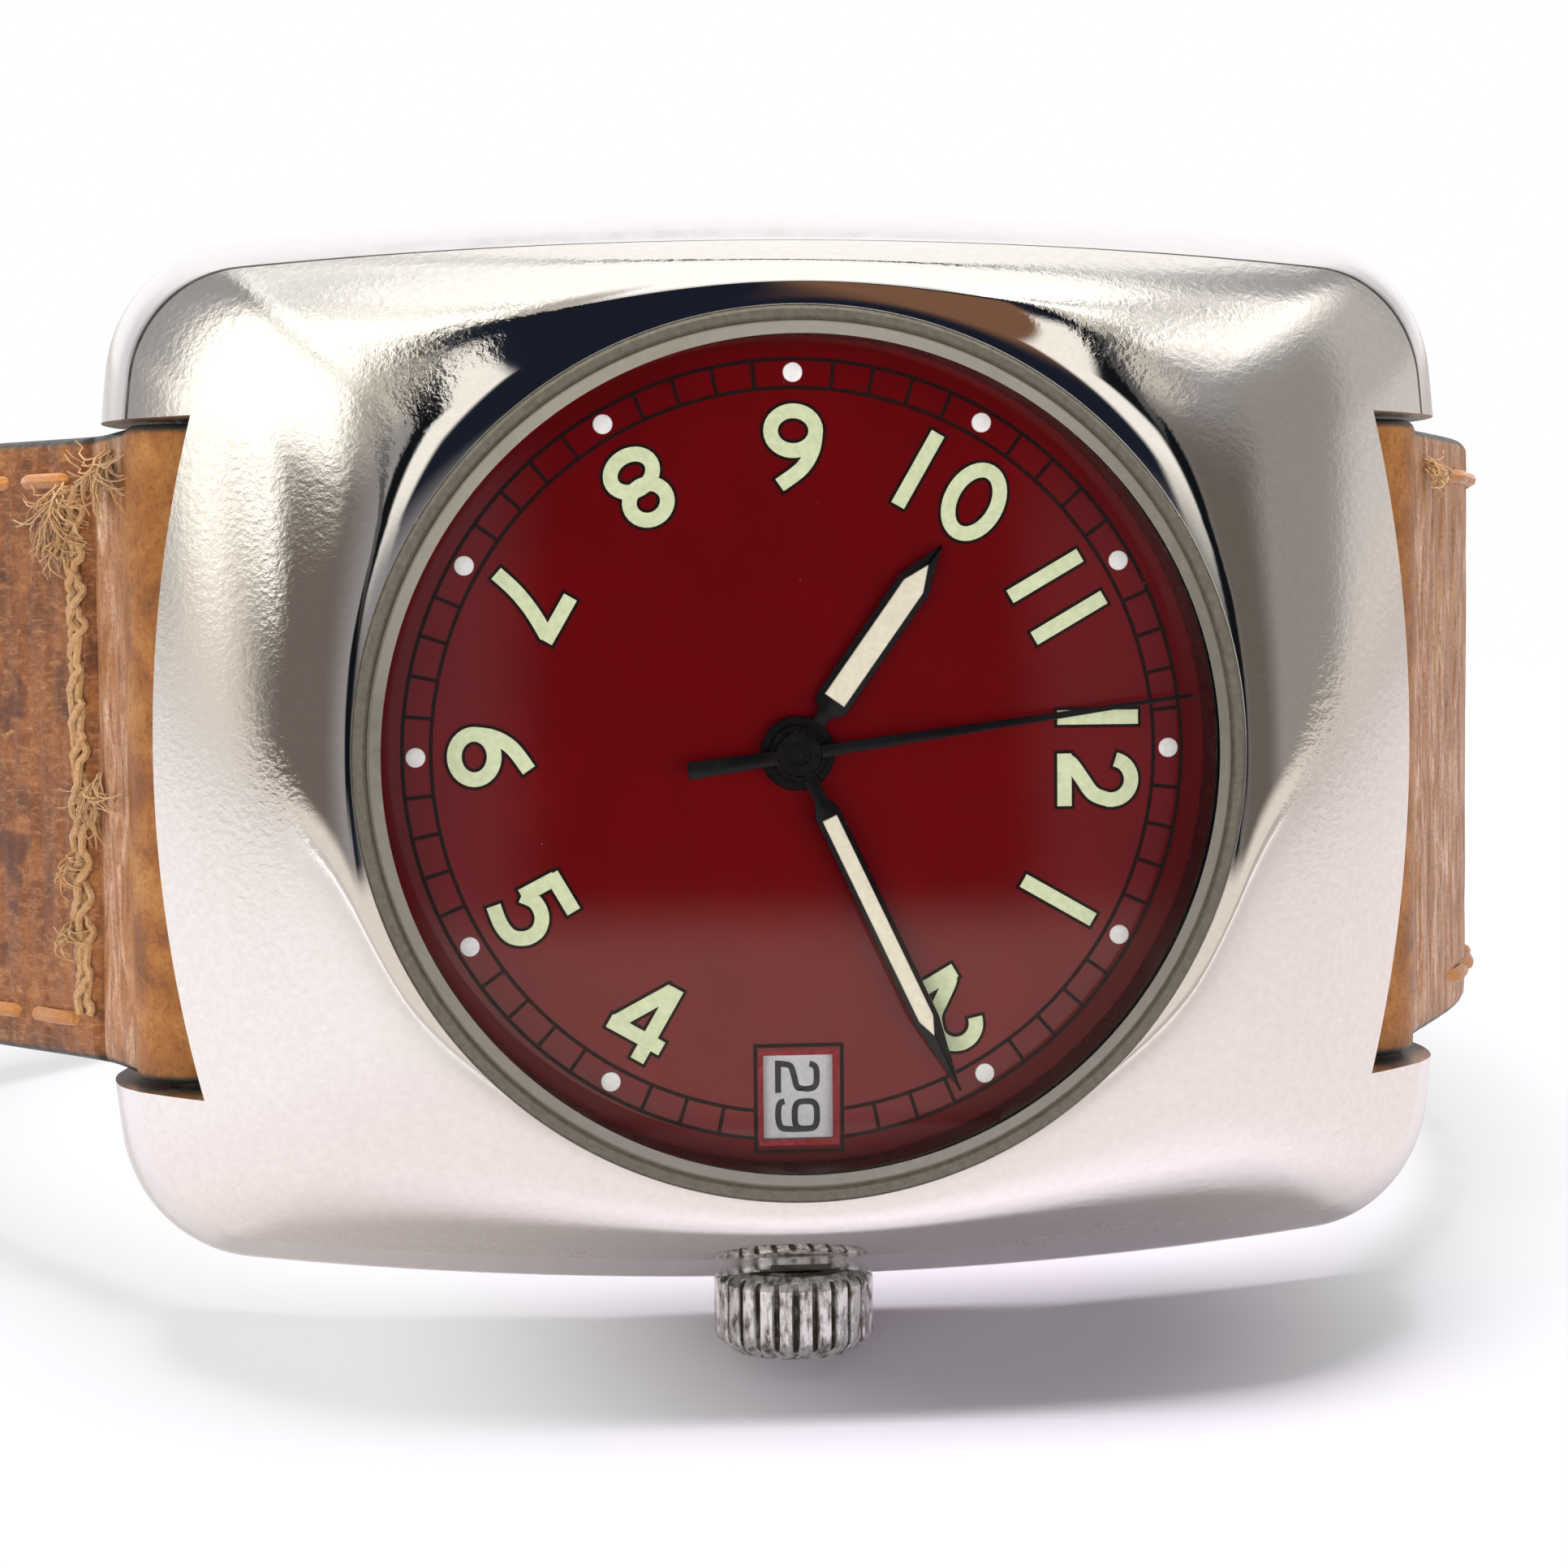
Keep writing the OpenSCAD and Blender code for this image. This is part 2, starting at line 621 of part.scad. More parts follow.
module ratchet_wheel() {
    color(steel) at(barrel_at) difference() {
        toothed(ratchet_teeth, winding_module, ratchet_turn, ratchet_z[0], ratchet_z[1]);
        disc(barrel_arbor_radius + press, -10, 10);
    }
}

// Click: a pawl lying just clear of the ratchet teeth
click_at = barrel_at + polar(winding_module * ratchet_teeth / 2 + 1.1, 178);
module click() {
    tip = barrel_at + polar(winding_module * (ratchet_teeth / 2 + 1) + 0.06, 163);
    color(steel) difference() {
        plate_shape(ratchet_z[0], ratchet_z[1]) {
            translate(click_at) circle(r = 0.55, $fn = 48);
            polygon([click_at + [-0.5, 0], click_at + [0.3, 0.2], tip, tip + [-0.35, 0.15]]);
        }
        at(click_at) disc(0.3 + running, -10, 10);
    }
}

// Main plate: floor, rim wall, recesses for the dial-side wheels and the winding works
jewel_radius = 0.45;
jewel_height = 0.22;
pivot = 0.1;
rim_width = 0.9;
motion_module = 0.12;
cannon_teeth = 12;
minute_teeth = 36;
minute_pinion = 10;
hour_teeth = 40;
motion_reach = motion_module * (cannon_teeth + minute_teeth) / 2;
hour_module = 2 * motion_reach / (hour_teeth + minute_pinion);
minute_angle = -20;
minute_at = polar(motion_reach, minute_angle);
setting_teeth = 20;
setting_reach = motion_module * (minute_teeth + setting_teeth) / 2;
setting_at = minute_at + [sqrt(setting_reach * setting_reach - minute_at.y * minute_at.y), -minute_at.y];
date_teeth = 80;
date_wheel_angle = 190;
date_wheel_reach = hour_module * (hour_teeth + date_teeth) / 2;
date_wheel_at = polar(date_wheel_reach, date_wheel_angle);
hour_wheel_z = [plate_top - 0.02, plate_top - 0.17];
minute_wheel_z = [plate_top - 0.32, plate_top - 0.5];
keyless = [7.3, 12.35];
keyless_half = 1.6;
post = 0.35;
lever_at = [groove_x + groove_long / 2 + crown_pull / 2, -2.9];
yoke_at = [9.3, 2.9];
works_z = [plate_top - 0.1, plate_top - 0.4];

module main_plate() {
    color(rhodium) difference() {
        union() {
            difference() {
                disc(plate_radius, plate_top, bridge_seat);
                disc(plate_radius - rim_width, -10, plate_floor);
                disc(hour_module * (hour_teeth / 2 + 1.2), plate_top - 0.2, 1);
                at(minute_at) disc(motion_module * (minute_teeth / 2 + 1.3), plate_top - 0.55, 1);
                at(setting_at) disc(motion_module * (setting_teeth / 2 + 1.4), plate_top - 0.55, 1);
                at(date_wheel_at) disc(hour_module * (date_teeth / 2 + 1.2), plate_top - 0.22, 1);
                disc(cannon_tube[1] + 0.5, plate_top - 0.6, 1);
                translate([keyless[0], -keyless_half, -10]) cube([keyless[1] - keyless[0], 2 * keyless_half, 20]);
                translate([keyless[0], -3.9, works_z[1] - 0.06]) cube([keyless[1] - keyless[0], 7.6, 2]);
            }
            at(minute_at) disc(post, plate_top, plate_floor);
            at(setting_at) disc(post, plate_top, plate_floor);
            at(date_wheel_at) disc(post, plate_top, plate_floor);
            at(lever_at) disc(post, plate_top, plate_floor);
            at(yoke_at) disc(post, plate_top, plate_floor);
            at(fork_at + polar(2.2, lever_angle + 90)) disc(0.9, plate_floor + eps, fork_z[1] - 0.05);
        }
        disc(centre_arbor[1] + running, -10, 10);
        for (p = [third_at, escape_at, fork_at, balance_at]) at(p) disc(jewel_radius + press, -10, 10);
        at(barrel_at) disc(barrel_arbor_radius + running, -10, 10);
        along_stem(stem_tip - 0.1) cylinder(r = stem_radius + 0.1, h = 10);
        for (a = screw_angles) at(polar(screw_reach, a)) disc(screw_radius + press, -10, bridge_seat + 0.9);
    }
}

// Bridges: plates that sit on the rim of the main plate
screw_angles = [20, 125, 160, 248, 292, 325];
screw_reach = plate_radius - rim_width / 2;
screw_radius = 0.25;
module bridge_blank(z0, z1) {
    intersection() {
        disc(plate_radius, z0, z1);
        plate_shape(z0, z1) children();
    }
}
module screw_holes() {
    for (a = screw_angles) at(polar(screw_reach, a)) disc(screw_radius + press, -10, 0);
}

module barrel_bridge() {
    color(rhodium) difference() {
        union() {
            bridge_blank(bridge_seat, bridge_back)
                polygon([[14, -2.7], [14, 14], [-13, 14], [-13, 3.4], [-3, 3.4], [-1, 1.1], [4.3, 1.1], [4.3, -2.7]]);
        }
        at(barrel_at) disc(barrel_arbor_radius + running, -10, 0);
        at(barrel_at) disc(winding_module * (ratchet_teeth / 2 + 1.3), ratchet_z[0] + 0.04, -10);
        at(crown_wheel_at)
            ring(winding_module * (crown_wheel_teeth / 2 + 1.3), 0.9, crown_wheel_z[0] + 0.04, bridge_back - 1);
        translate([winding_x[0] - 0.1, -1.5, -4]) cube([winding_x[1] - winding_x[0] + 0.2, 3, 4]);
        at(click_at) disc(2.1, ratchet_z[0] + 0.04, -10);
        screw_holes();
    }
    color(steel) at(click_at) disc(0.3, ratchet_z[0] + 0.04, ratchet_z[1]);
}

module train_bridge() {
    color(rhodium) difference() {
        bridge_blank(bridge_seat, bridge_back)
            polygon([[-13, 3.1], [-3.1, 3.1], [-1.2, 0.8], [4.0, 0.8], [4.0, -2.9], [14, -2.9], [14, -8],
                [5, -4.8], [1.5, -3.4], [-2.4, -3.4], [-5, -4.6], [-9, -9], [-13, -9]]);
        disc(jewel_radius + press, -10, 0);
        for (p = [third_at, escape_at]) at(p) disc(jewel_radius + press, -10, 0);
        at(balance_at) disc(balance_radius + 0.35, -10, 0);
        at(barrel_at) disc(winding_module * (ratchet_teeth / 2 + 1.3), ratchet_z[0] + 0.04, -10);
        screw_holes();
    }
}

cock_face = balance_z[1] - 0.36;
cock_back = cock_face - 0.4;
module balance_cock() {
    color(rhodium) difference() {
        union() {
            bridge_blank(bridge_seat, cock_back)
                translate(polar(14.2, 292)) rotate(292) square([4.4, 4.2], center = true);
            plate_shape(cock_face, cock_back) hull() {
                translate(balance_at) circle(r = 1.2, $fn = 32);
                translate(polar(plate_radius - 1.2, 288)) circle(r = 1.2, $fn = 32);
            }
        }
        at(balance_at) disc(jewel_radius + press, -10, 0);
        at(balance_at) disc(balance_radius + 0.3, cock_face, 0);
        screw_holes();
    }
}

module jewel() {
    difference() {
        disc(jewel_radius, 0, jewel_height);
        disc(pivot + running, -1, 1);
    }
}
module jewels() {
    color("crimson") {
        for (p = [third_at, escape_at, fork_at, balance_at]) at(p) translate([0, 0, plate_floor]) jewel();
        for (p = [[0, 0], third_at, escape_at]) at(p) translate([0, 0, bridge_seat - jewel_height]) jewel();
        at(balance_at) translate([0, 0, cock_face - jewel_height]) jewel();
    }
}

module movement_screws() {
    color("steelblue") for (a = screw_angles) at(polar(screw_reach, a)) difference() {
        disc(screw_radius, bridge_seat + 0.85, bridge_back + 0.02);
        translate([-1, -0.06, bridge_back - 0.1]) cube([2, 0.12, 0.3]);
    }
}

// Motion works
module cannon_pinion() {
    turn = clock(shown_minute) + 90;
    color(steel) difference() {
        union() {
            disc(cannon_tube[1], plate_top - 0.52, minute_z[1] - 0.02);
            toothed(cannon_teeth, motion_module, turn, minute_wheel_z[0] + 0.02, minute_wheel_z[1]);
        }
        disc(cannon_tube[0], -10, 10);
    }
}

minute_wheel_turn = mesh_turn(cannon_teeth, clock(shown_minute) + 90, minute_teeth, minute_angle);
minute_pinion_turn = 0;
hour_wheel_turn = mesh_turn(minute_pinion, minute_pinion_turn, hour_teeth, minute_angle + 180);
module minute_wheel() {
    color(brass) at(minute_at) difference() {
        union() {
            wheel(minute_teeth, motion_module, minute_wheel_turn, minute_wheel_z[0], minute_wheel_z[1], 4, 0.9);
            toothed(minute_pinion, hour_module, minute_pinion_turn, hour_wheel_z[0], minute_wheel_z[0] - eps);
        }
        disc(post + running, -10, 10);
    }
}

module hour_wheel() {
    color(brass) difference() {
        union() {
            toothed(hour_teeth, hour_module, hour_wheel_turn, hour_wheel_z[0], hour_wheel_z[1]);
            disc(hour_pipe[1], hour_wheel_z[1], hour_z[1] - 0.02);
        }
        disc(hour_pipe[0], -10, 10);
    }
}

setting_turn = mesh_turn(minute_teeth, minute_wheel_turn, setting_teeth,
    atan2((setting_at - minute_at).y, (setting_at - minute_at).x));
module setting_wheel() {
    color(steel) at(setting_at) difference() {
        toothed(setting_teeth, motion_module, setting_turn, minute_wheel_z[0], minute_wheel_z[1]);
        disc(post + running, -10, 10);
    }
}

// Calendar: wheel with one finger, ring with 31 inner teeth, jumper held clear of them
date_days = 31;
date_root = 9.6;
date_tip = 9.15;
date_outer = 12.3;
date_wheel_turn = mesh_turn(hour_teeth, hour_wheel_turn, date_teeth, date_wheel_angle);
module date_wheel() {
    color(brass) at(date_wheel_at) difference() {
        union() {
            wheel(date_teeth, hour_module, date_wheel_turn, hour_wheel_z[0], hour_wheel_z[1], 5, 1.0);
            disc(0.8, plate_top - 0.03, date_bottom + 0.15);
            plate_shape(plate_top - 0.03, date_bottom + 0.15) polygon([[0, -0.3], [2.35, -0.12], [2.35, 0.12], [0, 0.3]]);
        }
        disc(post + running, -10, 10);
    }
}

function date_points() = [
    for (i = [0:date_days - 1], k = [0:3])
        polar([date_root, date_tip, date_tip, date_root][k], 360 / date_days * (i + [-0.34, -0.1, 0.1, 0.34][k]))];
module date_ring() {
    color("white") plate_shape(date_bottom, date_top) difference() {
        circle(r = date_outer);
        polygon(date_points());
    }
}

module date_jumper() {
    tip = polar(date_tip - 0.08, 112);
    color(steel) plate_shape(date_bottom, date_top - 0.08) {
        translate(polar(7.4, 80)) circle(r = 0.6, $fn = 48);
        polygon([polar(7.8, 80), tip, tip + polar(0.5, 230), polar(7.1, 84)]);
    }
}

// Winding and setting works on the stem
winding_x = [9.35, 10.15];
sliding_x = [7.75, 9.25];
module winding_pinion() {
    color(steel) along_stem(winding_x[0]) difference() {
        linear_extrude(winding_x[1] - winding_x[0]) polygon(gear_points(16, 0.155, 0));
        translate([0, 0, -1]) cylinder(r = stem_radius + running, h = 3);
    }
}

module sliding_pinion() {
    color(steel) along_stem(sliding_x[0]) difference() {
        union() {
            linear_extrude(0.4) polygon(gear_points(14, 0.13, 0));
            cylinder(r = 0.62, h = sliding_x[1] - sliding_x[0]);
            translate([0, 0, 1.1]) cylinder(r = 0.95, h = 0.4);
        }
        translate([0, 0, -1]) cylinder(r = stem_radius + running, h = 4);
    }
}

module setting_lever() {
    stud = [groove_x + groove_long / 2, 0];
    color(steel) difference() {
        union() {
            plate_shape(works_z[0], works_z[1]) {
                translate(lever_at) circle(r = 0.7, $fn = 48);
                polygon([lever_at + [-0.6, 0], lever_at + [0.6, 0.2], stud + [0.25, 0.15], stud + [-0.25, 0.15]]);
            }
            at(stud) disc(0.14, works_z[1] + 0.01, stem_z + stem_radius);
        }
        at(lever_at) disc(post + running, -10, 10);
    }
}

module yoke() {
    tip = [sliding_x[0] + 0.75, 0.88];
    color(steel) {
        difference() {
            plate_shape(works_z[0], works_z[1]) {
                translate(yoke_at) circle(r = 0.75, $fn = 48);
                polygon([yoke_at + [-0.68, -0.1], yoke_at + [0, -0.55], tip + [0.2, -0.1], tip + [-0.2, -0.1]]);
            }
            at(yoke_at) disc(post + running, -10, 10);
        }
        at(tip) disc(0.14, works_z[1] + 0.01, stem_z);
    }
}

// Dial and hands
module dial_plate() {
    color([0.42, 0.03, 0.04]) difference() {
        union() {
            disc(dial_radius, dial_bottom, 0);
            for (a = [48, 228]) at(polar(8.75, a)) disc(0.35, dial_bottom, dial_bottom - 0.5);
        }
        disc(hour_pipe[1] + 0.45, -5, 1);
        translate([date_reach - date_window_long / 2, -date_window_wide / 2, -1])
            cube([date_window_long, date_window_wide, 2]);
    }
}

hour_width = 1.1;
minute_width = 0.8;
// Sword-shaped hand: neck, body with parallel sides, pointed tip
function hand_shape(start, width, length, point) = [
    [-0.22, 0], [-0.22, start - 0.35], [-width / 2, start], [-width / 2, length - point], [0, length],
    [width / 2, length - point], [width / 2, start], [0.22, start - 0.35], [0.22, 0]];
module hand(minutes, z, boss, bore, lume_inset) {
    rotate([0, 0, clock(minutes)]) difference() {
        union() {
            plate_shape(z[0], z[1]) children(0);
            disc(boss, z[0], z[1] + 0.04);
        }
        plate_shape(z[1] - 0.08, z[1] + 1) children(1);
        disc(bore, -5, 5);
    }
}
hour_minutes = shown_hour * 5 + shown_minute / 12;
hour_lume_shape = [[-0.36, 1.95], [-0.36, hour_length - 1.55], [0, hour_length - 0.75],
    [0.36, hour_length - 1.55], [0.36, 1.95]];
minute_lume_shape = [[-0.24, 2.15], [-0.24, minute_length - 2.5], [0, minute_length - 1.9],
    [0.24, minute_length - 2.5], [0.24, 2.15]];
module hour_hand() {
    color([0.05, 0.05, 0.05]) hand(hour_minutes, hour_z, 1.04, hour_pipe[1] + press) {
        polygon(hand_shape(1.75, hour_width, hour_length, 1.5));
        polygon(hour_lume_shape);
    }
}
module hour_hand_lume() {
    color(lume) rotate([0, 0, clock(hour_minutes)]) plate_shape(hour_z[1] - 0.08, hour_z[1] - press)
        offset(delta = -press) polygon(hour_lume_shape);
}
module minute_hand() {
    color([0.05, 0.05, 0.05]) hand(shown_minute, minute_z, 0.86, cannon_tube[1] + press) {
        polygon(hand_shape(1.95, minute_width, minute_length, 2.4));
        polygon(minute_lume_shape);
    }
}
module minute_hand_lume() {
    color(lume) rotate([0, 0, clock(shown_minute)]) plate_shape(minute_z[1] - 0.08, minute_z[1] - press)
        offset(delta = -press) polygon(minute_lume_shape);
}
module seconds_hand() {
    color([0.05, 0.05, 0.05]) rotate([0, 0, clock(shown_second)]) difference() {
        union() {
            plate_shape(seconds_z[0], seconds_z[1]) {
                polygon([[-0.2, 0], [-0.05, seconds_length], [0.05, seconds_length], [0.2, 0]]);
                polygon([[-0.2, 0], [0.2, 0], [0.27, -seconds_tail], [-0.27, -seconds_tail]]);
            }
            disc(0.69, seconds_z[0] - 0.08, seconds_z[1] + 0.05);
        }
        disc(seconds_post + press, -5, 5);
    }
}

// Parts that hold the movement in the case
module movement_ring() {
    color("darkgray") difference() {
        ring(movement_bore - 0.03, plate_radius + 0.03, plate_top - 0.05, bridge_seat - 0.1);
        along_stem(10) cylinder(r = stem_radius + 0.15, h = 10);
    }
}

clamp_angles = [60, 180, 300];
module casing_clamps() {
    color(steel) for (a = clamp_angles) rotate([0, 0, a]) translate([plate_radius + 0.5, 0, 0])
        plate_shape(bridge_seat - 0.12, bridge_seat - 0.4) square([0.95, 2.4], center = true);
}

// Strap: a curved run of leather through chosen points, as [y, z]
buckle_at = [-14.3, -42.4];
bow_dir = polar(1, 156.5);
short_route = [[21.2, -9], [24.4, -15], [26, -22], [25.3, -29.5], [21.5, -36], [14.5, -40.8], [7, -42.4], [-1, -42.4], [-9, -42.4]];
fold_wall = 1.1;
tail_level = buckle_at.y - buckle_bar_radius - fold_wall - 0.5 - strap_thickness / 2;
long_route = [[-21.3, -8.2], [-26, -13], [-29.8, -18.5], [-31.4, -24.5], [-30, -30.3], [-25.8, -34.1],
    [-21.7, -38.5], [-19.1, -42.7], [-16.8, -45.1], [-13.2, tail_level - 0.05], [-8, tail_level], [0, tail_level], [8, tail_level],
    [15.5, -44.2], [22, -40.4], [26.4, -35]];
function spline_point(a, b, c, d, t) =
    0.5 * (2 * b + (c - a) * t + (2 * a - 5 * b + 4 * c - d) * t * t + (3 * b - a - 3 * c + d) * t * t * t);
function spline(p, steps) = [
    for (i = [0:len(p) - 2], k = [0:steps - 1])
        spline_point(p[max(i - 1, 0)], p[i], p[i + 1], p[min(i + 2, len(p) - 1)], k / steps),
    p[len(p) - 1]];
function tangents(p) = [for (i = [0:len(p) - 1])
    let (d = p[min(i + 1, len(p) - 1)] - p[max(i - 1, 0)]) d / norm(d)];
// Cross-section of the leather: flat faces with bevelled edges
function strap_section(p, t, half, thick) =
    let (n = [-t.y, t.x], e = 0.3)
    [for (s = [[-half + e, 1], [half - e, 1], [half, 0.5], [half, -0.5], [half - e, -1], [-half + e, -1],
        [-half, -0.5], [-half, 0.5]])
        let (q = p + n * s[1] * thick / 2) [s[0], q.x, q.y]];
module strap_run(path, halves, thicknesses) {
    n = len(path);
    t = tangents(path);
    rings = [for (i = [0:n - 1]) strap_section(path[i], t[i], halves[i], thicknesses[i])];
    points = [for (r = rings) each r];
    faces = concat(
        [for (j = [0:n - 2], i = [0:7]) [j * 8 + i, (j + 1) * 8 + i, j * 8 + (i + 1) % 8]],
        [for (j = [0:n - 2], i = [0:7]) [(j + 1) * 8 + i, (j + 1) * 8 + (i + 1) % 8, j * 8 + (i + 1) % 8]],
        [[for (i = [0:7]) i], [for (i = [7:-1:0]) (n - 1) * 8 + i]]
    );
    polyhedron(points, faces, convexity = 10);
}
bow_lift = 0.7;
buckle_flat = 0.95;
tongue_rest = -bow_lift - buckle_flat - 0.05;
strap_steps = 4;
short_path = spline(concat([[bar_reach, -bar_depth]], short_route, [[buckle_at.x, buckle_at.y]]), strap_steps);
long_path = spline(concat([[-bar_reach, -bar_depth]], long_route), strap_steps);
root_extra = 1.3;
function eased(i, n) = max(0, 1 - i / n);
module eye(at_point, outer, inner) {
    translate([0, at_point.x, at_point.y]) rotate([0, 90, 0]) difference() {
        cylinder(r = outer, h = strap_width, center = true);
        cylinder(r = inner, h = strap_width + 2, center = true);
    }
}
module eye_bore(at_point, inner) {
    translate([0, at_point.x, at_point.y]) rotate([0, 90, 0])
        cylinder(r = inner, h = strap_width + 4, center = true);
}

tongue_width = 1.7;
tongue_slot = 7;
module strap_buckle_side() {
    n = len(short_path);
    color(leather) difference() {
        union() {
            strap_run(short_path, [for (i = [0:n - 1]) strap_width / 2],
                [for (i = [0:n - 1]) strap_thickness + root_extra * eased(i, 9)]);
            eye([bar_reach, -bar_depth], fold_radius, 0.95);
            eye(buckle_at, buckle_bar_radius + fold_wall, buckle_bar_radius + 0.12);
        }
        eye_bore([bar_reach, -bar_depth], 0.95);
        eye_bore(buckle_at, buckle_bar_radius + 0.12);
        translate([-tongue_width / 2 - 0.35, buckle_at.x - 3.2, buckle_at.y - 4])
            cube([tongue_width + 0.7, 6.4, 8]);
    }
}

// Points along the tail where the holes go; the tongue stands in the first one
hole_count = 7;
function arc_lengths(p, i = 0, s = 0) =
    i >= len(p) ? [] : concat([s], arc_lengths(p, i + 1, i + 1 < len(p) ? s + norm(p[i + 1] - p[i]) : s));
long_lengths = arc_lengths(long_path);
function station(s) =
    let (i = max([for (k = [0:len(long_path) - 2]) long_lengths[k] <= s ? k : 0]))
    let (f = (s - long_lengths[i]) / (long_lengths[i + 1] - long_lengths[i]))
    [mix(long_path[i], long_path[i + 1], f), (long_path[i + 1] - long_path[i]) / norm(long_path[i + 1] - long_path[i])];
// The tongue crosses the strap where the strap passes its middle line
function in_buckle(p) = [(p - buckle_at) * bow_dir, (p - buckle_at) * [bow_dir.y, -bow_dir.x]];
function over_tongue(p) = let (q = in_buckle(p)) q.y - mix(-0.6, tongue_rest - 0.3, q.x / buckle_reach);
crossing = [for (i = [1:len(long_path) - 1])
    if (over_tongue(long_path[i - 1]) > 0 && over_tongue(long_path[i]) <= 0) i][0];
tongue_hole_at = let (a = over_tongue(long_path[crossing - 1]), b = over_tongue(long_path[crossing]))
    mix(long_lengths[crossing - 1], long_lengths[crossing], a / (a - b));
module strap_hole_side() {
    n = len(long_path);
    color(leather) difference() {
        union() {
            strap_run(long_path,
                [for (i = [0:n - 1]) let (left = long_lengths[n - 1] - long_lengths[i])
                    strap_width / 2 - (left < 8 ? 6.5 * pow(1 - left / 8, 2) : 0)],
                [for (i = [0:n - 1]) strap_thickness + root_extra * eased(i, 9)]);
            eye([-bar_reach, -bar_depth], fold_radius, 0.95);
        }
        eye_bore([-bar_reach, -bar_depth], 0.95);
        for (k = [1:hole_count - 1]) let (s = station(tongue_hole_at + k * hole_pitch))
            translate([0, s[0].x, s[0].y]) rotate([atan2(s[1].y, s[1].x), 0, 0])
                cylinder(r = hole_radius, h = 6, center = true, $fn = 24);
        let (s = station(tongue_hole_at)) translate([0, s[0].x, s[0].y]) rotate([atan2(s[1].y, s[1].x), 0, 0])
            cube([tongue_width + 0.7, tongue_slot, 6], center = true);
    }
}

// Buckle: half frame of round wire, straight bar and tongue, drawn with the bow towards +Y
buckle_turn = atan2(bow_dir.y, bow_dir.x) - 180;
arm_x = buckle_width / 2 - buckle_wire;
module at_buckle() {
    translate([0, buckle_at.x, buckle_at.y]) rotate([buckle_turn, 0, 0]) mirror([0, 1, 0]) children();
}
bow_corner = 3;
// Centre line of one half of the frame, from the bar hole to the middle of the bow
function half_frame(s) = concat(
    [[s * arm_x, -1.1], [s * arm_x, 0], [s * arm_x, (buckle_reach - bow_corner) / 2]],
    [for (i = [0:6]) [s * (arm_x - bow_corner), buckle_reach - bow_corner]
        + bow_corner * [s * cos(15 * i), sin(15 * i)]]);
frame_path = let (left = half_frame(-1)) concat(half_frame(1), [for (i = [len(left) - 1:-1:0]) left[i]]);
module flat_tube(path, wide, high, lift) {
    n = len(path);
    t = tangents(path);
    sides = 16;
    points = [for (i = [0:n - 1], k = [0:sides - 1]) let (a = 360 * k / sides)
        let (q = path[i] + wide * cos(a) * [t[i].y, -t[i].x])
        [q.x, q.y, high * sin(a) - lift * max(path[i].y, 0) / buckle_reach]];
    faces = concat(
        [for (j = [0:n - 2], i = [0:sides - 1])
            [j * sides + i, j * sides + (i + 1) % sides, (j + 1) * sides + i]],
        [for (j = [0:n - 2], i = [0:sides - 1])
            [(j + 1) * sides + i, j * sides + (i + 1) % sides, (j + 1) * sides + (i + 1) % sides]],
        [[for (i = [sides - 1:-1:0]) i], [for (i = [0:sides - 1]) (n - 1) * sides + i]]
    );
    polyhedron(points, faces, convexity = 6);
}
module buckle_frame() {
    color(steel) at_buckle() difference() {
        flat_tube(frame_path, buckle_wire, buckle_flat, bow_lift);
        rotate([0, 90, 0]) cylinder(r = buckle_bar_radius - 0.14, h = buckle_width * 2, center = true);
    }
}

module buckle_bar() {
    color(steel) at_buckle() rotate([0, 90, 0]) {
        cylinder(r = buckle_bar_radius, h = 2 * (arm_x - buckle_wire) - 0.02, center = true);
        cylinder(r = buckle_bar_radius - 0.15, h = 2 * arm_x + buckle_wire, center = true);
    }
}

module buckle_tongue() {
    tip_y = buckle_reach + 0.9;
    tip_z = tongue_rest;
    rest_y = buckle_reach - buckle_wire - 0.6;
    color(steel) at_buckle() difference() {
        union() {
            rotate([0, 90, 0]) cylinder(r = buckle_bar_radius + 0.65, h = tongue_width, center = true);
            translate([-tongue_width / 2, 0, 0]) rotate([90, 0, 90]) linear_extrude(tongue_width)
                polygon([[0, -buckle_bar_radius - 0.6], [rest_y, tip_z - 0.9], [tip_y, tip_z - 0.65],
                    [tip_y + 0.3, tip_z - 0.3], [tip_y, tip_z], [rest_y, tip_z], [1.2, -0.1]]);
        }
        rotate([0, 90, 0]) cylinder(r = buckle_bar_radius + running, h = 10, center = true);
    }
}

// Keepers: leather loops round both runs of the strap
keeper_wall = 1.2;
keeper_length = 5;
keeper_top = buckle_at.y + strap_thickness / 2 + 0.35;
keeper_low = tail_level - strap_thickness / 2 - 0.35;
fixed_keeper_y = -8.6;
free_keeper_y = 1.6;
keeper_slide = 2.2;
module keeper(y) {
    inner = [strap_width + 0.7, keeper_top - keeper_low];
    color(leather) translate([0, y, (keeper_top + keeper_low) / 2]) rotate([90, 0, 0])
        translate([0, 0, -keeper_length / 2]) linear_extrude(keeper_length) difference() {
            square(inner + 2 * [keeper_wall, keeper_wall], center = true);
            square(inner, center = true);
        }
}
module fixed_keeper() {
    keeper(fixed_keeper_y);
}
module free_keeper() {
    keeper(free_keeper_y);
}

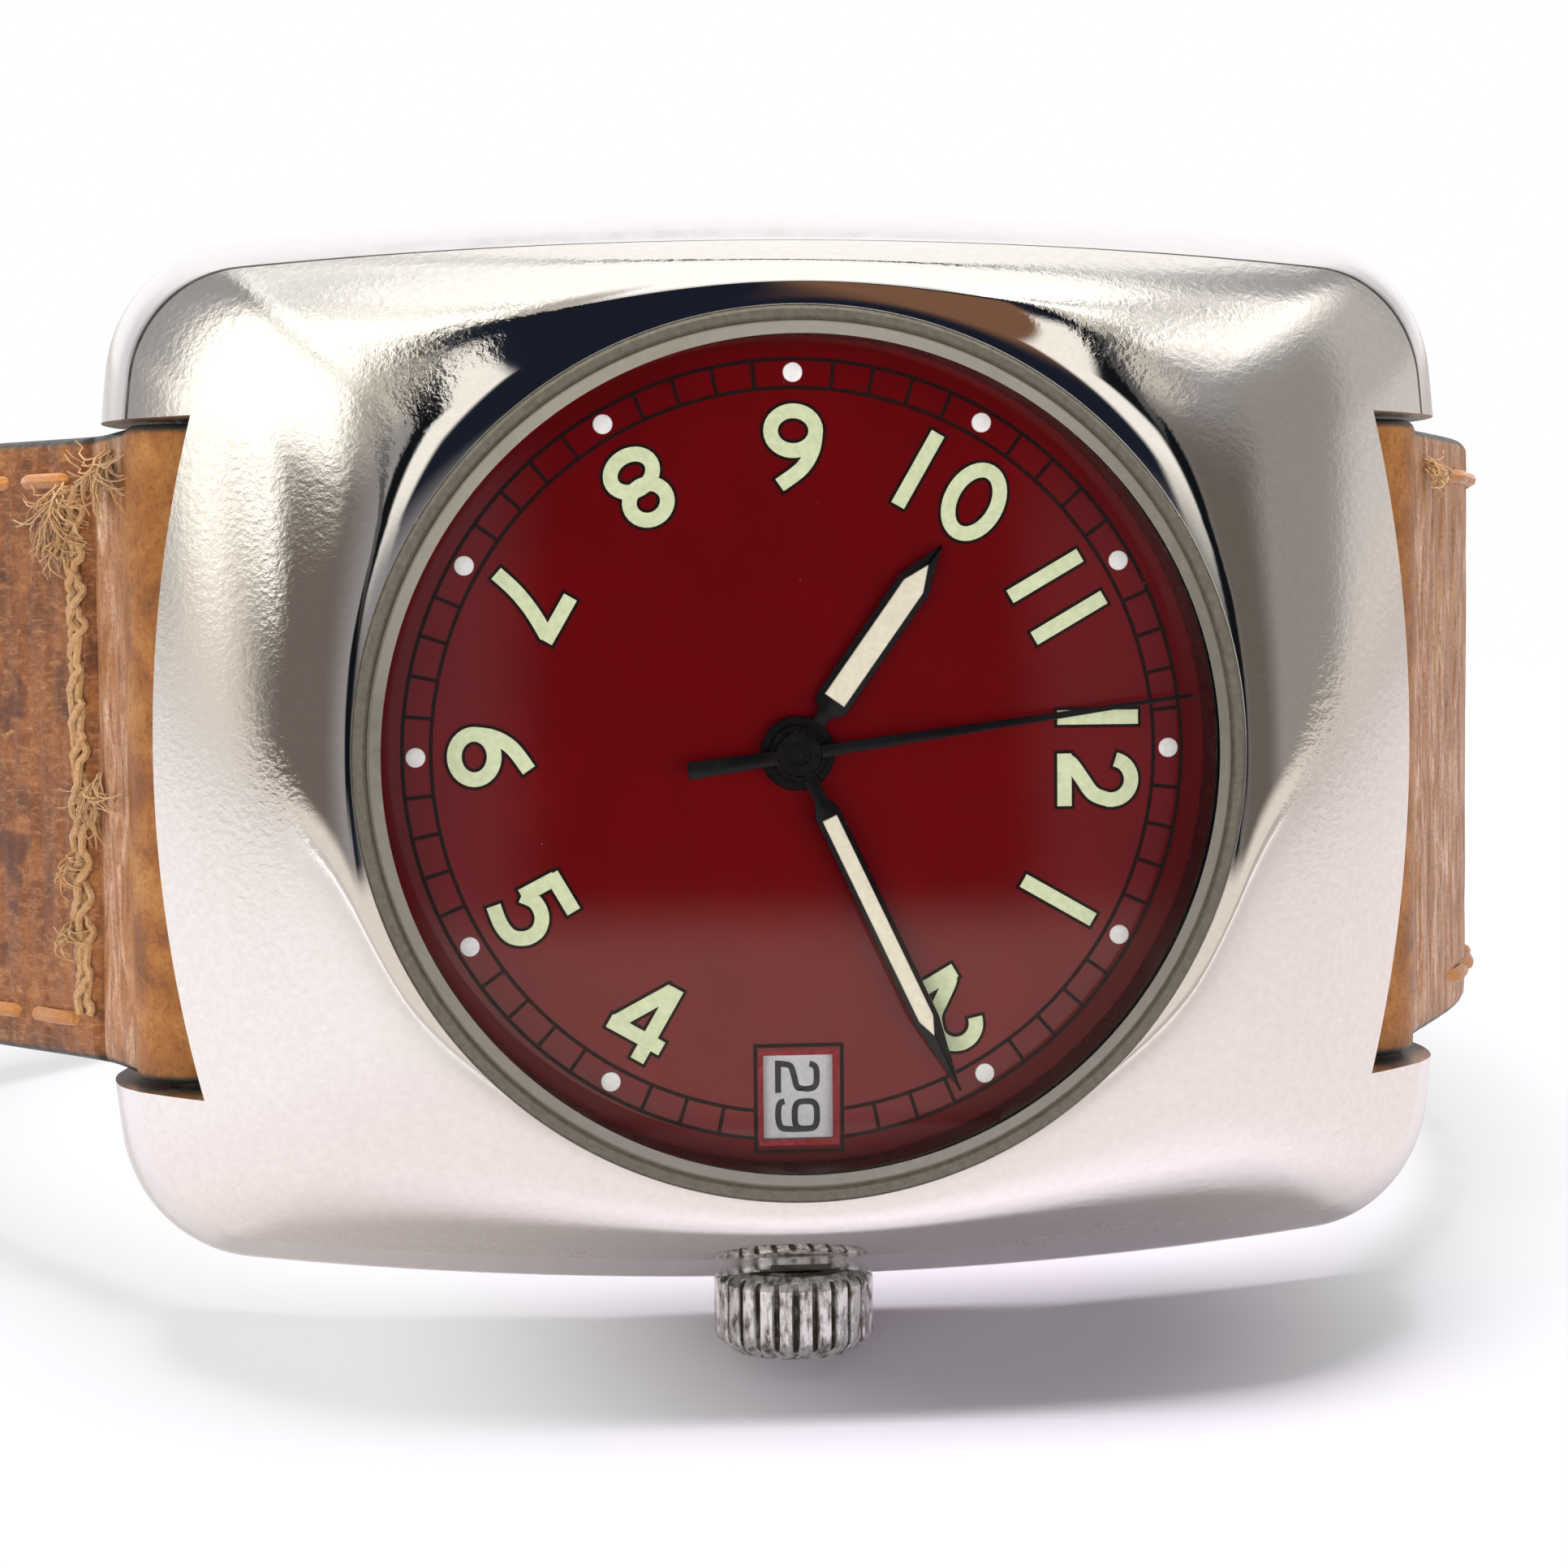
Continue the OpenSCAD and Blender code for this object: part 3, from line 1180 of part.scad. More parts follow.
// Stance: the crown's rim and the buckle's lower end touch the ground
contact_crown = [crown_end - 0.02, 0, stem_z - crown_diameter / 2 + 0.35];
contact_buckle = [buckle_width / 2, buckle_at.x, buckle_at.y];
lean = atan((contact_crown.x - contact_buckle.x) / (contact_crown.z - contact_buckle.z));
function row_point(p) = [
    p.y,
    -p.z * cos(lean) - p.x * sin(lean),
    p.z * sin(lean) - p.x * cos(lean)];
extremes = concat(
    [for (p = [contact_crown, contact_buckle, [-half_w, 0, -2.6], [crystal_radius - 0.25, 0, crystal_top],
        [-strap_width / 2 - 0.35 - keeper_wall, 0, keeper_low - keeper_wall]]) row_point(p)],
    [for (p = long_path) row_point([-strap_width / 2, p.x - strap_thickness / 2, p.y])],
    [for (p = short_path) row_point([-strap_width / 2, p.x + strap_thickness / 2, p.y])]
);
low_corner = [for (k = [0:2]) min([for (p = extremes) p[k]])];
high_corner = [for (k = [0:2]) max([for (p = extremes) p[k]])];
stand_shift = [-(low_corner.x + high_corner.x) / 2, -(low_corner.y + high_corner.y) / 2, -low_corner.z];
echo(lean = lean, stand_shift = stand_shift);
echo(least_spiral_gaps = [spring_pitch - spring_strip, 0.26 - mainspring_strip]);

module standing() {
    translate(stand_shift) rotate([90 - lean, 0, 0]) rotate([0, 0, -90]) children();
}

standing() case_body();
standing() crystal();
standing() crystal_gasket();
standing() case_back();
standing() case_back_gasket();
standing() case_tube();
standing() crown();
standing() crown_gasket();
standing() winding_stem();
standing() spring_bars();
standing() dial_plate();
standing() hour_hand();
standing() hour_hand_lume();
standing() minute_hand();
standing() minute_hand_lume();
standing() seconds_hand();
standing() date_ring();
standing() date_wheel();
standing() date_jumper();
standing() movement_ring();
standing() casing_clamps();
standing() movement_screws();
standing() main_plate();
standing() barrel_bridge();
standing() train_bridge();
standing() balance_cock();
standing() pallet_bridge();
standing() jewels();
standing() barrel_drum();
standing() barrel_cover();
standing() barrel_arbor();
standing() mainspring();
standing() ratchet_wheel();
standing() crown_wheel();
standing() click();
standing() centre_wheel();
standing() cannon_pinion();
standing() third_wheel();
standing() fourth_wheel();
standing() escape_wheel();
standing() pallet_fork();
standing() balance_wheel();
standing() hairspring();
standing() minute_wheel();
standing() hour_wheel();
standing() setting_wheel();
standing() winding_pinion();
standing() sliding_pinion();
standing() setting_lever();
standing() yoke();
standing() strap_buckle_side();
standing() strap_hole_side();
standing() buckle_frame();
standing() buckle_bar();
standing() buckle_tongue();
standing() fixed_keeper();
standing() free_keeper();
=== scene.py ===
"""Red-dial mechanical watch standing on its crown and buckle: looks, light and camera."""
import json
import math
import random

import bmesh
import bpy
from mathutils import Matrix, Vector


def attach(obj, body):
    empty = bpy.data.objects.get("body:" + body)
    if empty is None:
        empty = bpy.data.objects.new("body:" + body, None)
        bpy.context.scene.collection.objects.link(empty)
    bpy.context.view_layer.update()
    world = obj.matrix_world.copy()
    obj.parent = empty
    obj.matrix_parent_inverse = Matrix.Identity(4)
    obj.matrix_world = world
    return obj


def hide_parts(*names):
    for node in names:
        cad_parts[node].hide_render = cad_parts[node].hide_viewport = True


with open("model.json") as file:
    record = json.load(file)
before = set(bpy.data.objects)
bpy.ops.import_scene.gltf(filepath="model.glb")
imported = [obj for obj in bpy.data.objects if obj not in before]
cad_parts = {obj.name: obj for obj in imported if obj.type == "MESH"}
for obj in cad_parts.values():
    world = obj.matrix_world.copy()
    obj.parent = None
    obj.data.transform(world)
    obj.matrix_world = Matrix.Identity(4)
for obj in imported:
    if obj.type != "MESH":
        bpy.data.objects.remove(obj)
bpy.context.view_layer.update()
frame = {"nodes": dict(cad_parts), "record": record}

# The watch's own axes: x to 3 o'clock, y to 12 o'clock, z out of the dial, in millimetres
MM = 0.001
BACK_LEVEL = 6.15
MOUNT = frame["record"]["mounts"][0]
OUT = -Vector(MOUNT["axis"])
TWELVE = Vector((1, 0, 0))
THREE = TWELVE.cross(OUT)
ORIGIN = Vector(MOUNT["pos_m"]) + OUT * BACK_LEVEL * MM
LOCAL = (Matrix((THREE, TWELVE, OUT)).transposed() * MM).to_4x4()
LOCAL.translation = ORIGIN

# Driving sizes, as in the part's source
HALF_W = 16.5
HALF_L = 21.8
CORNER = 4.4
SIDE_ARC = 230
END_ARC = 100
WRIST_BEND = 70
CASE_DEPTH = 5.3
RIDGE_INSET = 1.1
RIDGE_HEIGHT = 0.6
CRYSTAL_RADIUS = 12.85
CRYSTAL_BORE = 13.28
CRYSTAL_TOP = 3.0
REHAUT_TOP = 1.75
REHAUT_BORE = 12.65
DIAL_RADIUS = 13.05
DIAL_THICKNESS = 0.4
LUG_SPACE = 20.6
HOOD_MID = HALF_L - 2.4
HOOD_SAG = 1.4
BAR_REACH = 18.5
BAR_DEPTH = 4.9
FOLD_RADIUS = 2.15
STEM_Z = -2.4
CROWN_SEAT = HALF_W - 0.5
CROWN_START = CROWN_SEAT + 0.12
CROWN_END = CROWN_START + 2.7
CROWN_RADIUS = 2.5
CROWN_FLUTES = 25
STRAP_WIDTH = 20
STRAP_THICK = 2.2


# ---------- shapes, as (points, faces) in millimetres ----------

def mix(a, b, t):
    return a + (b - a) * t


def mixed(p, q, t):
    return tuple(mix(a, b, t) for a, b in zip(p, q))


def polar(r, degrees):
    a = math.radians(degrees)
    return (r * math.cos(a), r * math.sin(a))


def clock(minutes, r):
    """Point on the dial at a clock position given in minutes."""
    a = math.radians(6 * minutes)
    return (r * math.sin(a), r * math.cos(a))


def loft(rings, wrap=True, caps=False):
    """Skin over rings of as many points each, closed round, and at both ends with caps."""
    count = len(rings[0])
    points = [p for ring in rings for p in ring]
    faces = []
    for j in range(len(rings) - 1):
        for i in range(count if wrap else count - 1):
            a = j * count + i
            b = j * count + (i + 1) % count
            faces.append((a, b, b + count, a + count))
    if caps:
        faces.append(tuple(reversed(range(count))))
        faces.append(tuple(range((len(rings) - 1) * count, len(rings) * count)))
    return points, faces


def joined(shapes):
    points = []
    faces = []
    for more_points, more_faces in shapes:
        base = len(points)
        points += more_points
        faces += [tuple(i + base for i in face) for face in more_faces]
    return points, faces


def moved(shape, change):
    return [change(p) for p in shape[0]], shape[1]


def lathe(profile, steps=128):
    """Turns a profile of (radius, z) round the z axis; it closes on itself."""
    rings = []
    for r, z in profile + profile[:1]:
        rings.append([polar(r, 360 * i / steps) + (z,) for i in range(steps)])
    return loft(rings)


def inset(outline, d):
    """The outline moved inwards by d; the outline runs anticlockwise."""
    result = []
    count = len(outline)
    for i in range(count):
        a, b, c = (Vector(outline[k % count]) for k in (i - 1, i, i + 1))
        u = (b - a).normalized()
        v = (c - b).normalized()
        n = Vector((-u.y - v.y, u.x + v.x))
        n = n.normalized()
        reach = d / max(0.35, n.dot(Vector((-u.y, u.x))))
        result.append(tuple(b + n * reach))
    return result


def anticlockwise(outline):
    area = 0
    for (x0, y0), (x1, y1) in zip(outline, outline[1:] + outline[:1]):
        area += x0 * y1 - x1 * y0
    return outline if area > 0 else outline[::-1]


def prism(outline, z0, z1, bevel=0.0):
    outline = anticlockwise(outline)
    levels = [(0, z0), (0, z1)]
    if bevel:
        levels = [(0, z0), (0, z1 - bevel), (bevel * 0.35, z1 - bevel * 0.3), (bevel, z1)]
    rings = [[p + (z,) for p in (inset(outline, d) if d else outline)] for d, z in levels]
    return loft(rings, caps=True)


def disc(centre, r, z0, z1, bevel=0.0, steps=48):
    cx, cy = centre
    outline = [(cx + x, cy + y) for x, y in (polar(r, 360 * i / steps) for i in range(steps))]
    return prism(outline, z0, z1, bevel)


def ribbon(path, width, z0, z1, closed=False, extend=0.0):
    """A flat stroke of even width along a path, with square ends."""
    count = len(path)
    pts = [Vector(p) for p in path]
    if extend and not closed:
        pts[0] = pts[0] + (pts[0] - pts[1]).normalized() * extend
        pts[-1] = pts[-1] + (pts[-1] - pts[-2]).normalized() * extend
    left, right = [], []
    for i in range(count):
        before = pts[i - 1] if i or closed else pts[i]
        after = pts[(i + 1) % count] if i < count - 1 or closed else pts[i]
        u = (pts[i] - before).normalized()
        v = (after - pts[i]).normalized()
        n = Vector((-u.y - v.y, u.x + v.x)).normalized()
        square = Vector((-u.y, u.x)) if u.length else Vector((-v.y, v.x))
        reach = width / 2 / max(0.5, n.dot(square))
        left.append(tuple(pts[i] + n * reach))
        right.append(tuple(pts[i] - n * reach))
    rings = [[p + (z0,) for p in left], [p + (z1,) for p in left],
             [p + (z1,) for p in right], [p + (z0,) for p in right]]
    if closed:
        return loft(rings)
    points, faces = loft(rings, wrap=False)
    for i in (0, count - 1):
        faces.append((i, count + i, 2 * count + i, 3 * count + i))
    return points, faces


def tube(path, radius, sides=8):
    """Round thread or wire along a path of 3-D points; radius may vary by point."""
    pts = [Vector(p) for p in path]
    rings = []
    side = None
    for i, p in enumerate(pts):
        t = (pts[min(i + 1, len(pts) - 1)] - pts[max(i - 1, 0)]).normalized()
        if side is None:
            side = t.orthogonal().normalized()
        side = (side - t * side.dot(t)).normalized()
        other = t.cross(side)
        r = radius[i] if isinstance(radius, list) else radius
        ring = []
        for k in range(sides):
            a = 2 * math.pi * k / sides
            ring.append(tuple(p + side * r * math.cos(a) + other * r * math.sin(a)))
        rings.append(ring)
    return loft(rings, caps=True)


def spline(path, steps):
    """Curve through the points of a path (Catmull-Rom)."""
    result = []
    last = len(path) - 1
    for i in range(last):
        a, b, c, d = (path[max(i - 1, 0)], path[i], path[i + 1], path[min(i + 2, last)])
        for k in range(steps):
            t = k / steps
            result.append(tuple(
                0.5 * (2 * q + (r - p) * t + (2 * p - 5 * q + 4 * r - s) * t * t
                       + (3 * q - p - 3 * r + s) * t ** 3)
                for p, q, r, s in zip(a, b, c, d)))
    return result + [tuple(path[-1])]


# ---------- pieces ----------

def place(name, data):
    made = bpy.data.objects.new(name, data)
    bpy.context.scene.collection.objects.link(made)
    return made


def mesh_object(name, shape):
    mesh = bpy.data.meshes.new(name)
    mesh.from_pydata(shape[0], [], shape[1])
    mesh.update()
    made = place(name, mesh)
    edit = bmesh.new()
    edit.from_mesh(mesh)
    bmesh.ops.recalc_face_normals(edit, faces=edit.faces)
    edit.to_mesh(mesh)
    edit.free()
    return made


def cut(piece, cutters):
    """Takes the cutter shapes out of the piece; new faces get material 1."""
    for cutter in cutters:
        tool = mesh_object("cutter", cutter)
        for polygon in tool.data.polygons:
            polygon.material_index = 1
        change = piece.modifiers.new("cut", "BOOLEAN")
        change.operation = "DIFFERENCE"
        change.solver = "MANIFOLD"
        change.object = tool
        bpy.context.view_layer.update()
        graph = bpy.context.evaluated_depsgraph_get()
        mesh = bpy.data.meshes.new_from_object(piece.evaluated_get(graph))
        piece.modifiers.clear()
        old = piece.data
        piece.data = mesh
        bpy.data.meshes.remove(old)
        bpy.data.objects.remove(tool)


def mark(piece, **values):
    """Stores a number on each point, for the materials to read."""
    for key, numbers in values.items():
        store = piece.data.attributes.new(key, "FLOAT", "POINT")
        store.data.foreach_set("value", numbers)


def dress(piece, materials, body, nodes=(), crease=32):
    """Puts the piece in the row frame, gives it materials and a body."""
    piece.data.transform(LOCAL)
    places = [polygon.material_index for polygon in piece.data.polygons]
    piece.data.materials.clear()
    for material in materials if isinstance(materials, (list, tuple)) else [materials]:
        piece.data.materials.append(material)
    last = len(piece.data.materials) - 1
    piece.data.polygons.foreach_set("material_index", [min(place, last) for place in places])
    piece.data.polygons.foreach_set("use_smooth", [True] * len(piece.data.polygons))
    piece.data.set_sharp_from_angle(angle=math.radians(crease))
    piece.data.update()
    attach(piece, body)
    if nodes:
        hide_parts(*nodes)
    return piece


def make(name, shape, materials, body, nodes=(), crease=32):
    return dress(mesh_object(name, shape), materials, body, nodes, crease)


# ---------- materials ----------

def srgb(r, g, b):
    """Picture colour 0-255 as a linear colour."""
    def linear(c):
        c = c / 255
        return c / 12.92 if c <= 0.04045 else ((c + 0.055) / 1.055) ** 2.4
    return (linear(r), linear(g), linear(b), 1.0)


class Graph:
    """A node tree with short ways to add and join its nodes."""

    def __init__(self, tree):
        self.tree = tree

    def add(self, kind, settings=None, **sockets):
        made = self.tree.nodes.new(kind)
        for key, value in (settings or {}).items():
            setattr(made, key, value)
        for key, value in sockets.items():
            self.set(made.inputs[key.replace("_", " ")], value)
        return made

    def set(self, socket, value):
        if isinstance(value, bpy.types.NodeSocket):
            self.tree.links.new(value, socket)
        else:
            socket.default_value = value

    def math(self, operation, a, b=0.0, clamp=False):
        node = self.add("ShaderNodeMath", {"operation": operation, "use_clamp": clamp})
        self.set(node.inputs[0], a)
        self.set(node.inputs[1], b)
        return node.outputs[0]

    def times(self, a, b, clamp=False):
        return self.math("MULTIPLY", a, b, clamp)

    def band(self, value, low, high, out_low=0.0, out_high=1.0):
        """Maps low..high to out_low..out_high, smooth and held at the ends."""
        node = self.add("ShaderNodeMapRange", {"interpolation_type": "SMOOTHSTEP"}, Value=value,
                        From_Min=low, From_Max=high, To_Min=out_low, To_Max=out_high)
        return node.outputs[0]

    def blend(self, fac, a, b):
        node = self.add("ShaderNodeMix", {"data_type": "RGBA"})
        self.set(node.inputs[0], fac)
        self.set(node.inputs[6], a)
        self.set(node.inputs[7], b)
        return node.outputs[2]

    def ramp(self, value, stops):
        node = self.add("ShaderNodeValToRGB", Fac=value)
        ramp = node.color_ramp
        while len(ramp.elements) < len(stops):
            ramp.elements.new(0.5)
        for element, (place, colour) in zip(ramp.elements, stops):
            element.position = place
            element.color = colour
        return node.outputs["Color"]

    def layered(self, fac, under, over):
        node = self.add("ShaderNodeMixShader", Fac=fac)
        self.set(node.inputs[1], under.outputs[0])
        self.set(node.inputs[2], over.outputs[0])
        return node


class Look(Graph):
    """A node material that works in the watch's millimetres."""

    def __init__(self, name):
        self.material = bpy.data.materials.new(name)
        self.material.use_nodes = True
        super().__init__(self.material.node_tree)
        self.shader = self.tree.nodes["Principled BSDF"]
        self.output = self.tree.nodes["Material Output"]
        place = self.add("ShaderNodeTexCoord")
        own = self.add("ShaderNodeMapping", {"vector_type": "TEXTURE"}, Vector=place.outputs["Object"])
        own.inputs["Location"].default_value = ORIGIN
        own.inputs["Rotation"].default_value = LOCAL.to_euler()
        own.inputs["Scale"].default_value = (MM, MM, MM)
        self.mm = own.outputs[0]

    def replace_shader(self, whole):
        self.set(self.output.inputs["Surface"], whole.outputs[0])
        self.tree.nodes.remove(self.shader)

    def surface(self, **sockets):
        for key, value in sockets.items():
            self.set(self.shader.inputs[key.replace("_", " ")], value)

    def stretched(self, scale):
        node = self.add("ShaderNodeMapping", Vector=self.mm)
        node.inputs["Scale"].default_value = scale
        return node.outputs[0]

    def noise(self, scale, detail=3.0, stretch=(1, 1, 1), rough=0.5, warp=0.0):
        vector = self.stretched(stretch)
        node = self.add("ShaderNodeTexNoise", Vector=vector, Scale=scale, Detail=detail,
                        Roughness=rough, Distortion=warp)
        return node.outputs["Fac"]

    def cells(self, scale):
        node = self.add("ShaderNodeTexVoronoi", Vector=self.stretched((1, 1, 1)), Scale=scale)
        return node.outputs["Distance"]

    def value(self, name):
        return self.add("ShaderNodeAttribute", {"attribute_name": name}).outputs["Fac"]

    def axis(self, name):
        split = self.add("ShaderNodeSeparateXYZ", Vector=self.mm)
        return split.outputs[name]

    def bump(self, height, strength=0.3, distance=0.05, normal=None):
        node = self.add("ShaderNodeBump", Height=height, Strength=strength, Distance=distance * MM)
        if normal is not None:
            self.set(node.inputs["Normal"], normal)
        return node.outputs[0]


def satin_steel():
    """Nearly polished steel with a fine pebbled grain and a few hairline scratches."""
    look = Look("steel_satin")
    grain = look.noise(4.6, 3, (1.0, 0.8, 1.0), 0.55, 0.2)
    fine = look.noise(10, 2)
    scratch = look.noise(1.1, 8, (2.6, 0.35, 1.0), 0.8, 0.6)
    wear = look.band(scratch, 0.60, 0.70)
    tone = look.ramp(grain, [(0.2, srgb(236, 231, 226)), (0.8, srgb(246, 242, 237))])
    colour = look.blend(wear, tone, srgb(250, 247, 242))
    reach = look.add("ShaderNodeVectorMath", {"operation": "LENGTH"}, Vector=look.stretched((1, 1, 0)))
    open_face = look.band(reach.outputs["Value"], 14.2, 16.4)
    outer = look.band(reach.outputs["Value"], 15.4, 17.5, 1, 2.2)
    grain_rough = look.band(grain, 0.25, 0.8, 0.085, 0.05)
    rough = look.times(grain_rough, look.band(open_face, 0, 1, 0.35, 1))
    low_side = look.band(look.axis("X"), 13.8, 15.6, 1, 2.6)
    rough = look.times(rough, look.times(outer, low_side))
    normal = look.bump(grain, look.times(open_face, 0.27), 0.03)
    normal = look.bump(fine, look.times(open_face, 0.2), 0.012, normal)
    look.surface(Base_Color=colour, Metallic=1.0, Roughness=rough, Normal=normal)
    return look.material


def polished_steel(name="steel_polished", rough_low=0.03, rough_high=0.08):
    look = Look(name)
    smear = look.noise(0.9, 5, (1, 1, 1), 0.6)
    hair = look.noise(3.0, 3, (0.5, 1.5, 1.0), 0.6)
    tone = look.ramp(smear, [(0.3, srgb(240, 238, 238)), (0.75, srgb(249, 247, 247))])
    rough = look.band(smear, 0.3, 0.75, rough_low, rough_high)
    normal = look.bump(hair, 0.03, 0.01)
    look.surface(Base_Color=tone, Metallic=1.0, Roughness=rough, Normal=normal)
    return look.material


# Steel painted dark: painted shade for the bore wall, the crown's well and a thin line above the ridge.
def rehaut_steel():
    look = Look("steel_painted_shade")
    smear = look.noise(1.5, 4)
    tone = look.ramp(smear, [(0.3, srgb(96, 90, 86)), (0.75, srgb(128, 122, 116))])
    look.surface(Base_Color=tone, Metallic=1.0, Roughness=look.band(smear, 0.3, 0.7, 0.25, 0.4))
    return look.material


def crown_steel():
    look = Look("steel_crown")
    # The marked value carries real dirt in the flutes and painted shade next to the case; both give dark
    # brown, duller, less metallic steel.
    dirt_and_shade_mask = look.band(look.value("groove"), 0.1, 0.5)
    grain = look.noise(2.4, 5, (0.6, 1.5, 1.5), 0.65)
    spots = look.noise(1.6, 6, (1, 1, 1), 0.7)
    metal = look.ramp(grain, [(0.36, srgb(112, 104, 94)), (0.55, srgb(252, 251, 249))])
    dirt_and_shade_colour = look.blend(spots, srgb(30, 24, 17), srgb(62, 52, 40))
    amount = look.times(dirt_and_shade_mask, look.band(spots, 0.2, 0.75, 1.25, 0.75), clamp=True)
    colour = look.blend(amount, metal, dirt_and_shade_colour)
    rough = look.blend(amount, (0.36, 0.36, 0.36, 1), (0.7, 0.7, 0.7, 1))
    bare = look.math("SUBTRACT", 1.0, look.times(amount, 0.8), clamp=True)
    look.surface(Base_Color=colour, Metallic=bare, Roughness=rough, Normal=look.bump(spots, 0.25, 0.05))
    look.surface(Specular_IOR_Level=0.6)
    return look.material


def dial_lacquer():
    look = Look("dial_lacquer")
    cloud = look.noise(0.25, 4, (1, 1, 1), 0.6)
    grain = look.noise(9.0, 3)
    tone = look.ramp(cloud, [(0.3, srgb(98, 3, 6)), (0.75, srgb(110, 5, 9))])
    fine = look.blend(0.1, tone, look.ramp(grain, [(0.3, srgb(80, 2, 4)), (0.8, srgb(130, 10, 10))]))
    look.surface(Base_Color=fine, Roughness=0.34, Metallic=0.4, Normal=look.bump(grain, 0.05, 0.01))
    look.surface(Specular_IOR_Level=0.1, Coat_Weight=1.0, Coat_Roughness=0.04, Coat_IOR=1.5)
    return look.material


def paint(name, low, high, rough=0.55, scale=6.0, bump=0.1):
    """Flat print or paint with a fine mottle."""
    look = Look(name)
    mottle = look.noise(scale, 4)
    tone = look.ramp(mottle, [(0.3, srgb(*low)), (0.75, srgb(*high))])
    look.surface(Base_Color=tone, Roughness=rough, Normal=look.bump(mottle, bump, 0.02))
    look.surface(Specular_IOR_Level=0.05)
    return look.material


def hand_paint():
    look = Look("hand_black")
    mottle = look.noise(3.0, 4, (1, 1, 1), 0.6)
    tone = look.ramp(mottle, [(0.3, srgb(8, 7, 8)), (0.8, srgb(16, 14, 16))])
    look.surface(Base_Color=tone, Roughness=look.band(mottle, 0.3, 0.8, 0.2, 0.3), Metallic=0.0,
                 Normal=look.bump(mottle, 0.04, 0.02), Specular_IOR_Level=0.25)
    return look.material


def crystal_glass():
    look = Look("crystal_clear")
    clear = look.add("ShaderNodeBsdfTransparent", Color=(0.985, 0.985, 0.985, 1))
    smear = look.noise(0.35, 5, (1, 1, 1), 0.6)
    gloss = look.add("ShaderNodeBsdfGlossy", Color=(1, 1, 1, 1),
                     Roughness=look.band(smear, 0.35, 0.75, 0.0, 0.06))
    fresnel = look.add("ShaderNodeFresnel", IOR=1.5)
    both = look.layered(look.times(fresnel.outputs[0], 0.3, clamp=True), clear, gloss)
    specks = look.band(look.cells(1.9), 0.030, 0.018)
    rare = look.band(look.noise(1.3, 1), 0.55, 0.6)
    dust = look.add("ShaderNodeBsdfDiffuse", Color=srgb(200, 196, 188))
    look.replace_shader(look.layered(look.times(specks, look.times(rare, 0.35)), both, dust))
    return look.material


def crystal_edge():
    """The crystal's bevel: the dark seal shows through it, with a soft gleam."""
    look = Look("crystal_edge")
    clear = look.add("ShaderNodeBsdfTransparent", Color=(0.5, 0.48, 0.44, 1))
    mottle = look.noise(2.0, 4)
    body = look.add("ShaderNodeBsdfDiffuse", Color=srgb(108, 104, 94))
    gleam = look.add("ShaderNodeBsdfGlossy", Color=srgb(190, 186, 180),
                     Roughness=look.band(mottle, 0.3, 0.8, 0.12, 0.3))
    both = look.layered(look.band(mottle, 0.3, 0.8, 0.85, 0.97), clear, body)
    look.replace_shader(look.layered(0.14, both, gleam))
    return look.material


def gasket_rubber():
    look = Look("gasket_rubber")
    mottle = look.noise(4.0, 5, (1, 1, 1), 0.7)
    tone = look.ramp(mottle, [(0.25, srgb(66, 62, 52)), (0.8, srgb(100, 94, 82))])
    look.surface(Base_Color=tone, Roughness=0.5, Normal=look.bump(mottle, 0.3, 0.05))
    return look.material


def works_metal(name, low, high, rough, stripe=0.0):
    """Metal of the movement: plated or gilt brass, steel or blued steel."""
    look = Look(name)
    grain = look.noise(7.0, 5, (0.25, 2.0, 1.0), 0.7)
    tone = look.ramp(grain, [(0.25, srgb(*low)), (0.8, srgb(*high))])
    roughness = look.band(grain, 0.25, 0.8, rough, rough + 0.14)
    normal = look.bump(grain, 0.12, 0.02)
    if stripe:
        wave = look.add("ShaderNodeTexWave", {"wave_profile": "SAW", "bands_direction": "DIAGONAL"},
                        Vector=look.mm, Scale=stripe, Distortion=0.0)
        normal = look.bump(wave.outputs["Fac"], 0.5, 0.05, normal)
    look.surface(Base_Color=tone, Metallic=1.0, Roughness=roughness, Normal=normal)
    return look.material


def ruby():
    look = Look("jewel_ruby")
    depth = look.noise(2.0, 3)
    tone = look.ramp(depth, [(0.3, srgb(150, 8, 40)), (0.8, srgb(205, 30, 70))])
    look.surface(Base_Color=tone, Roughness=0.08, Coat_Weight=0.6, Coat_Roughness=0.03)
    return look.material


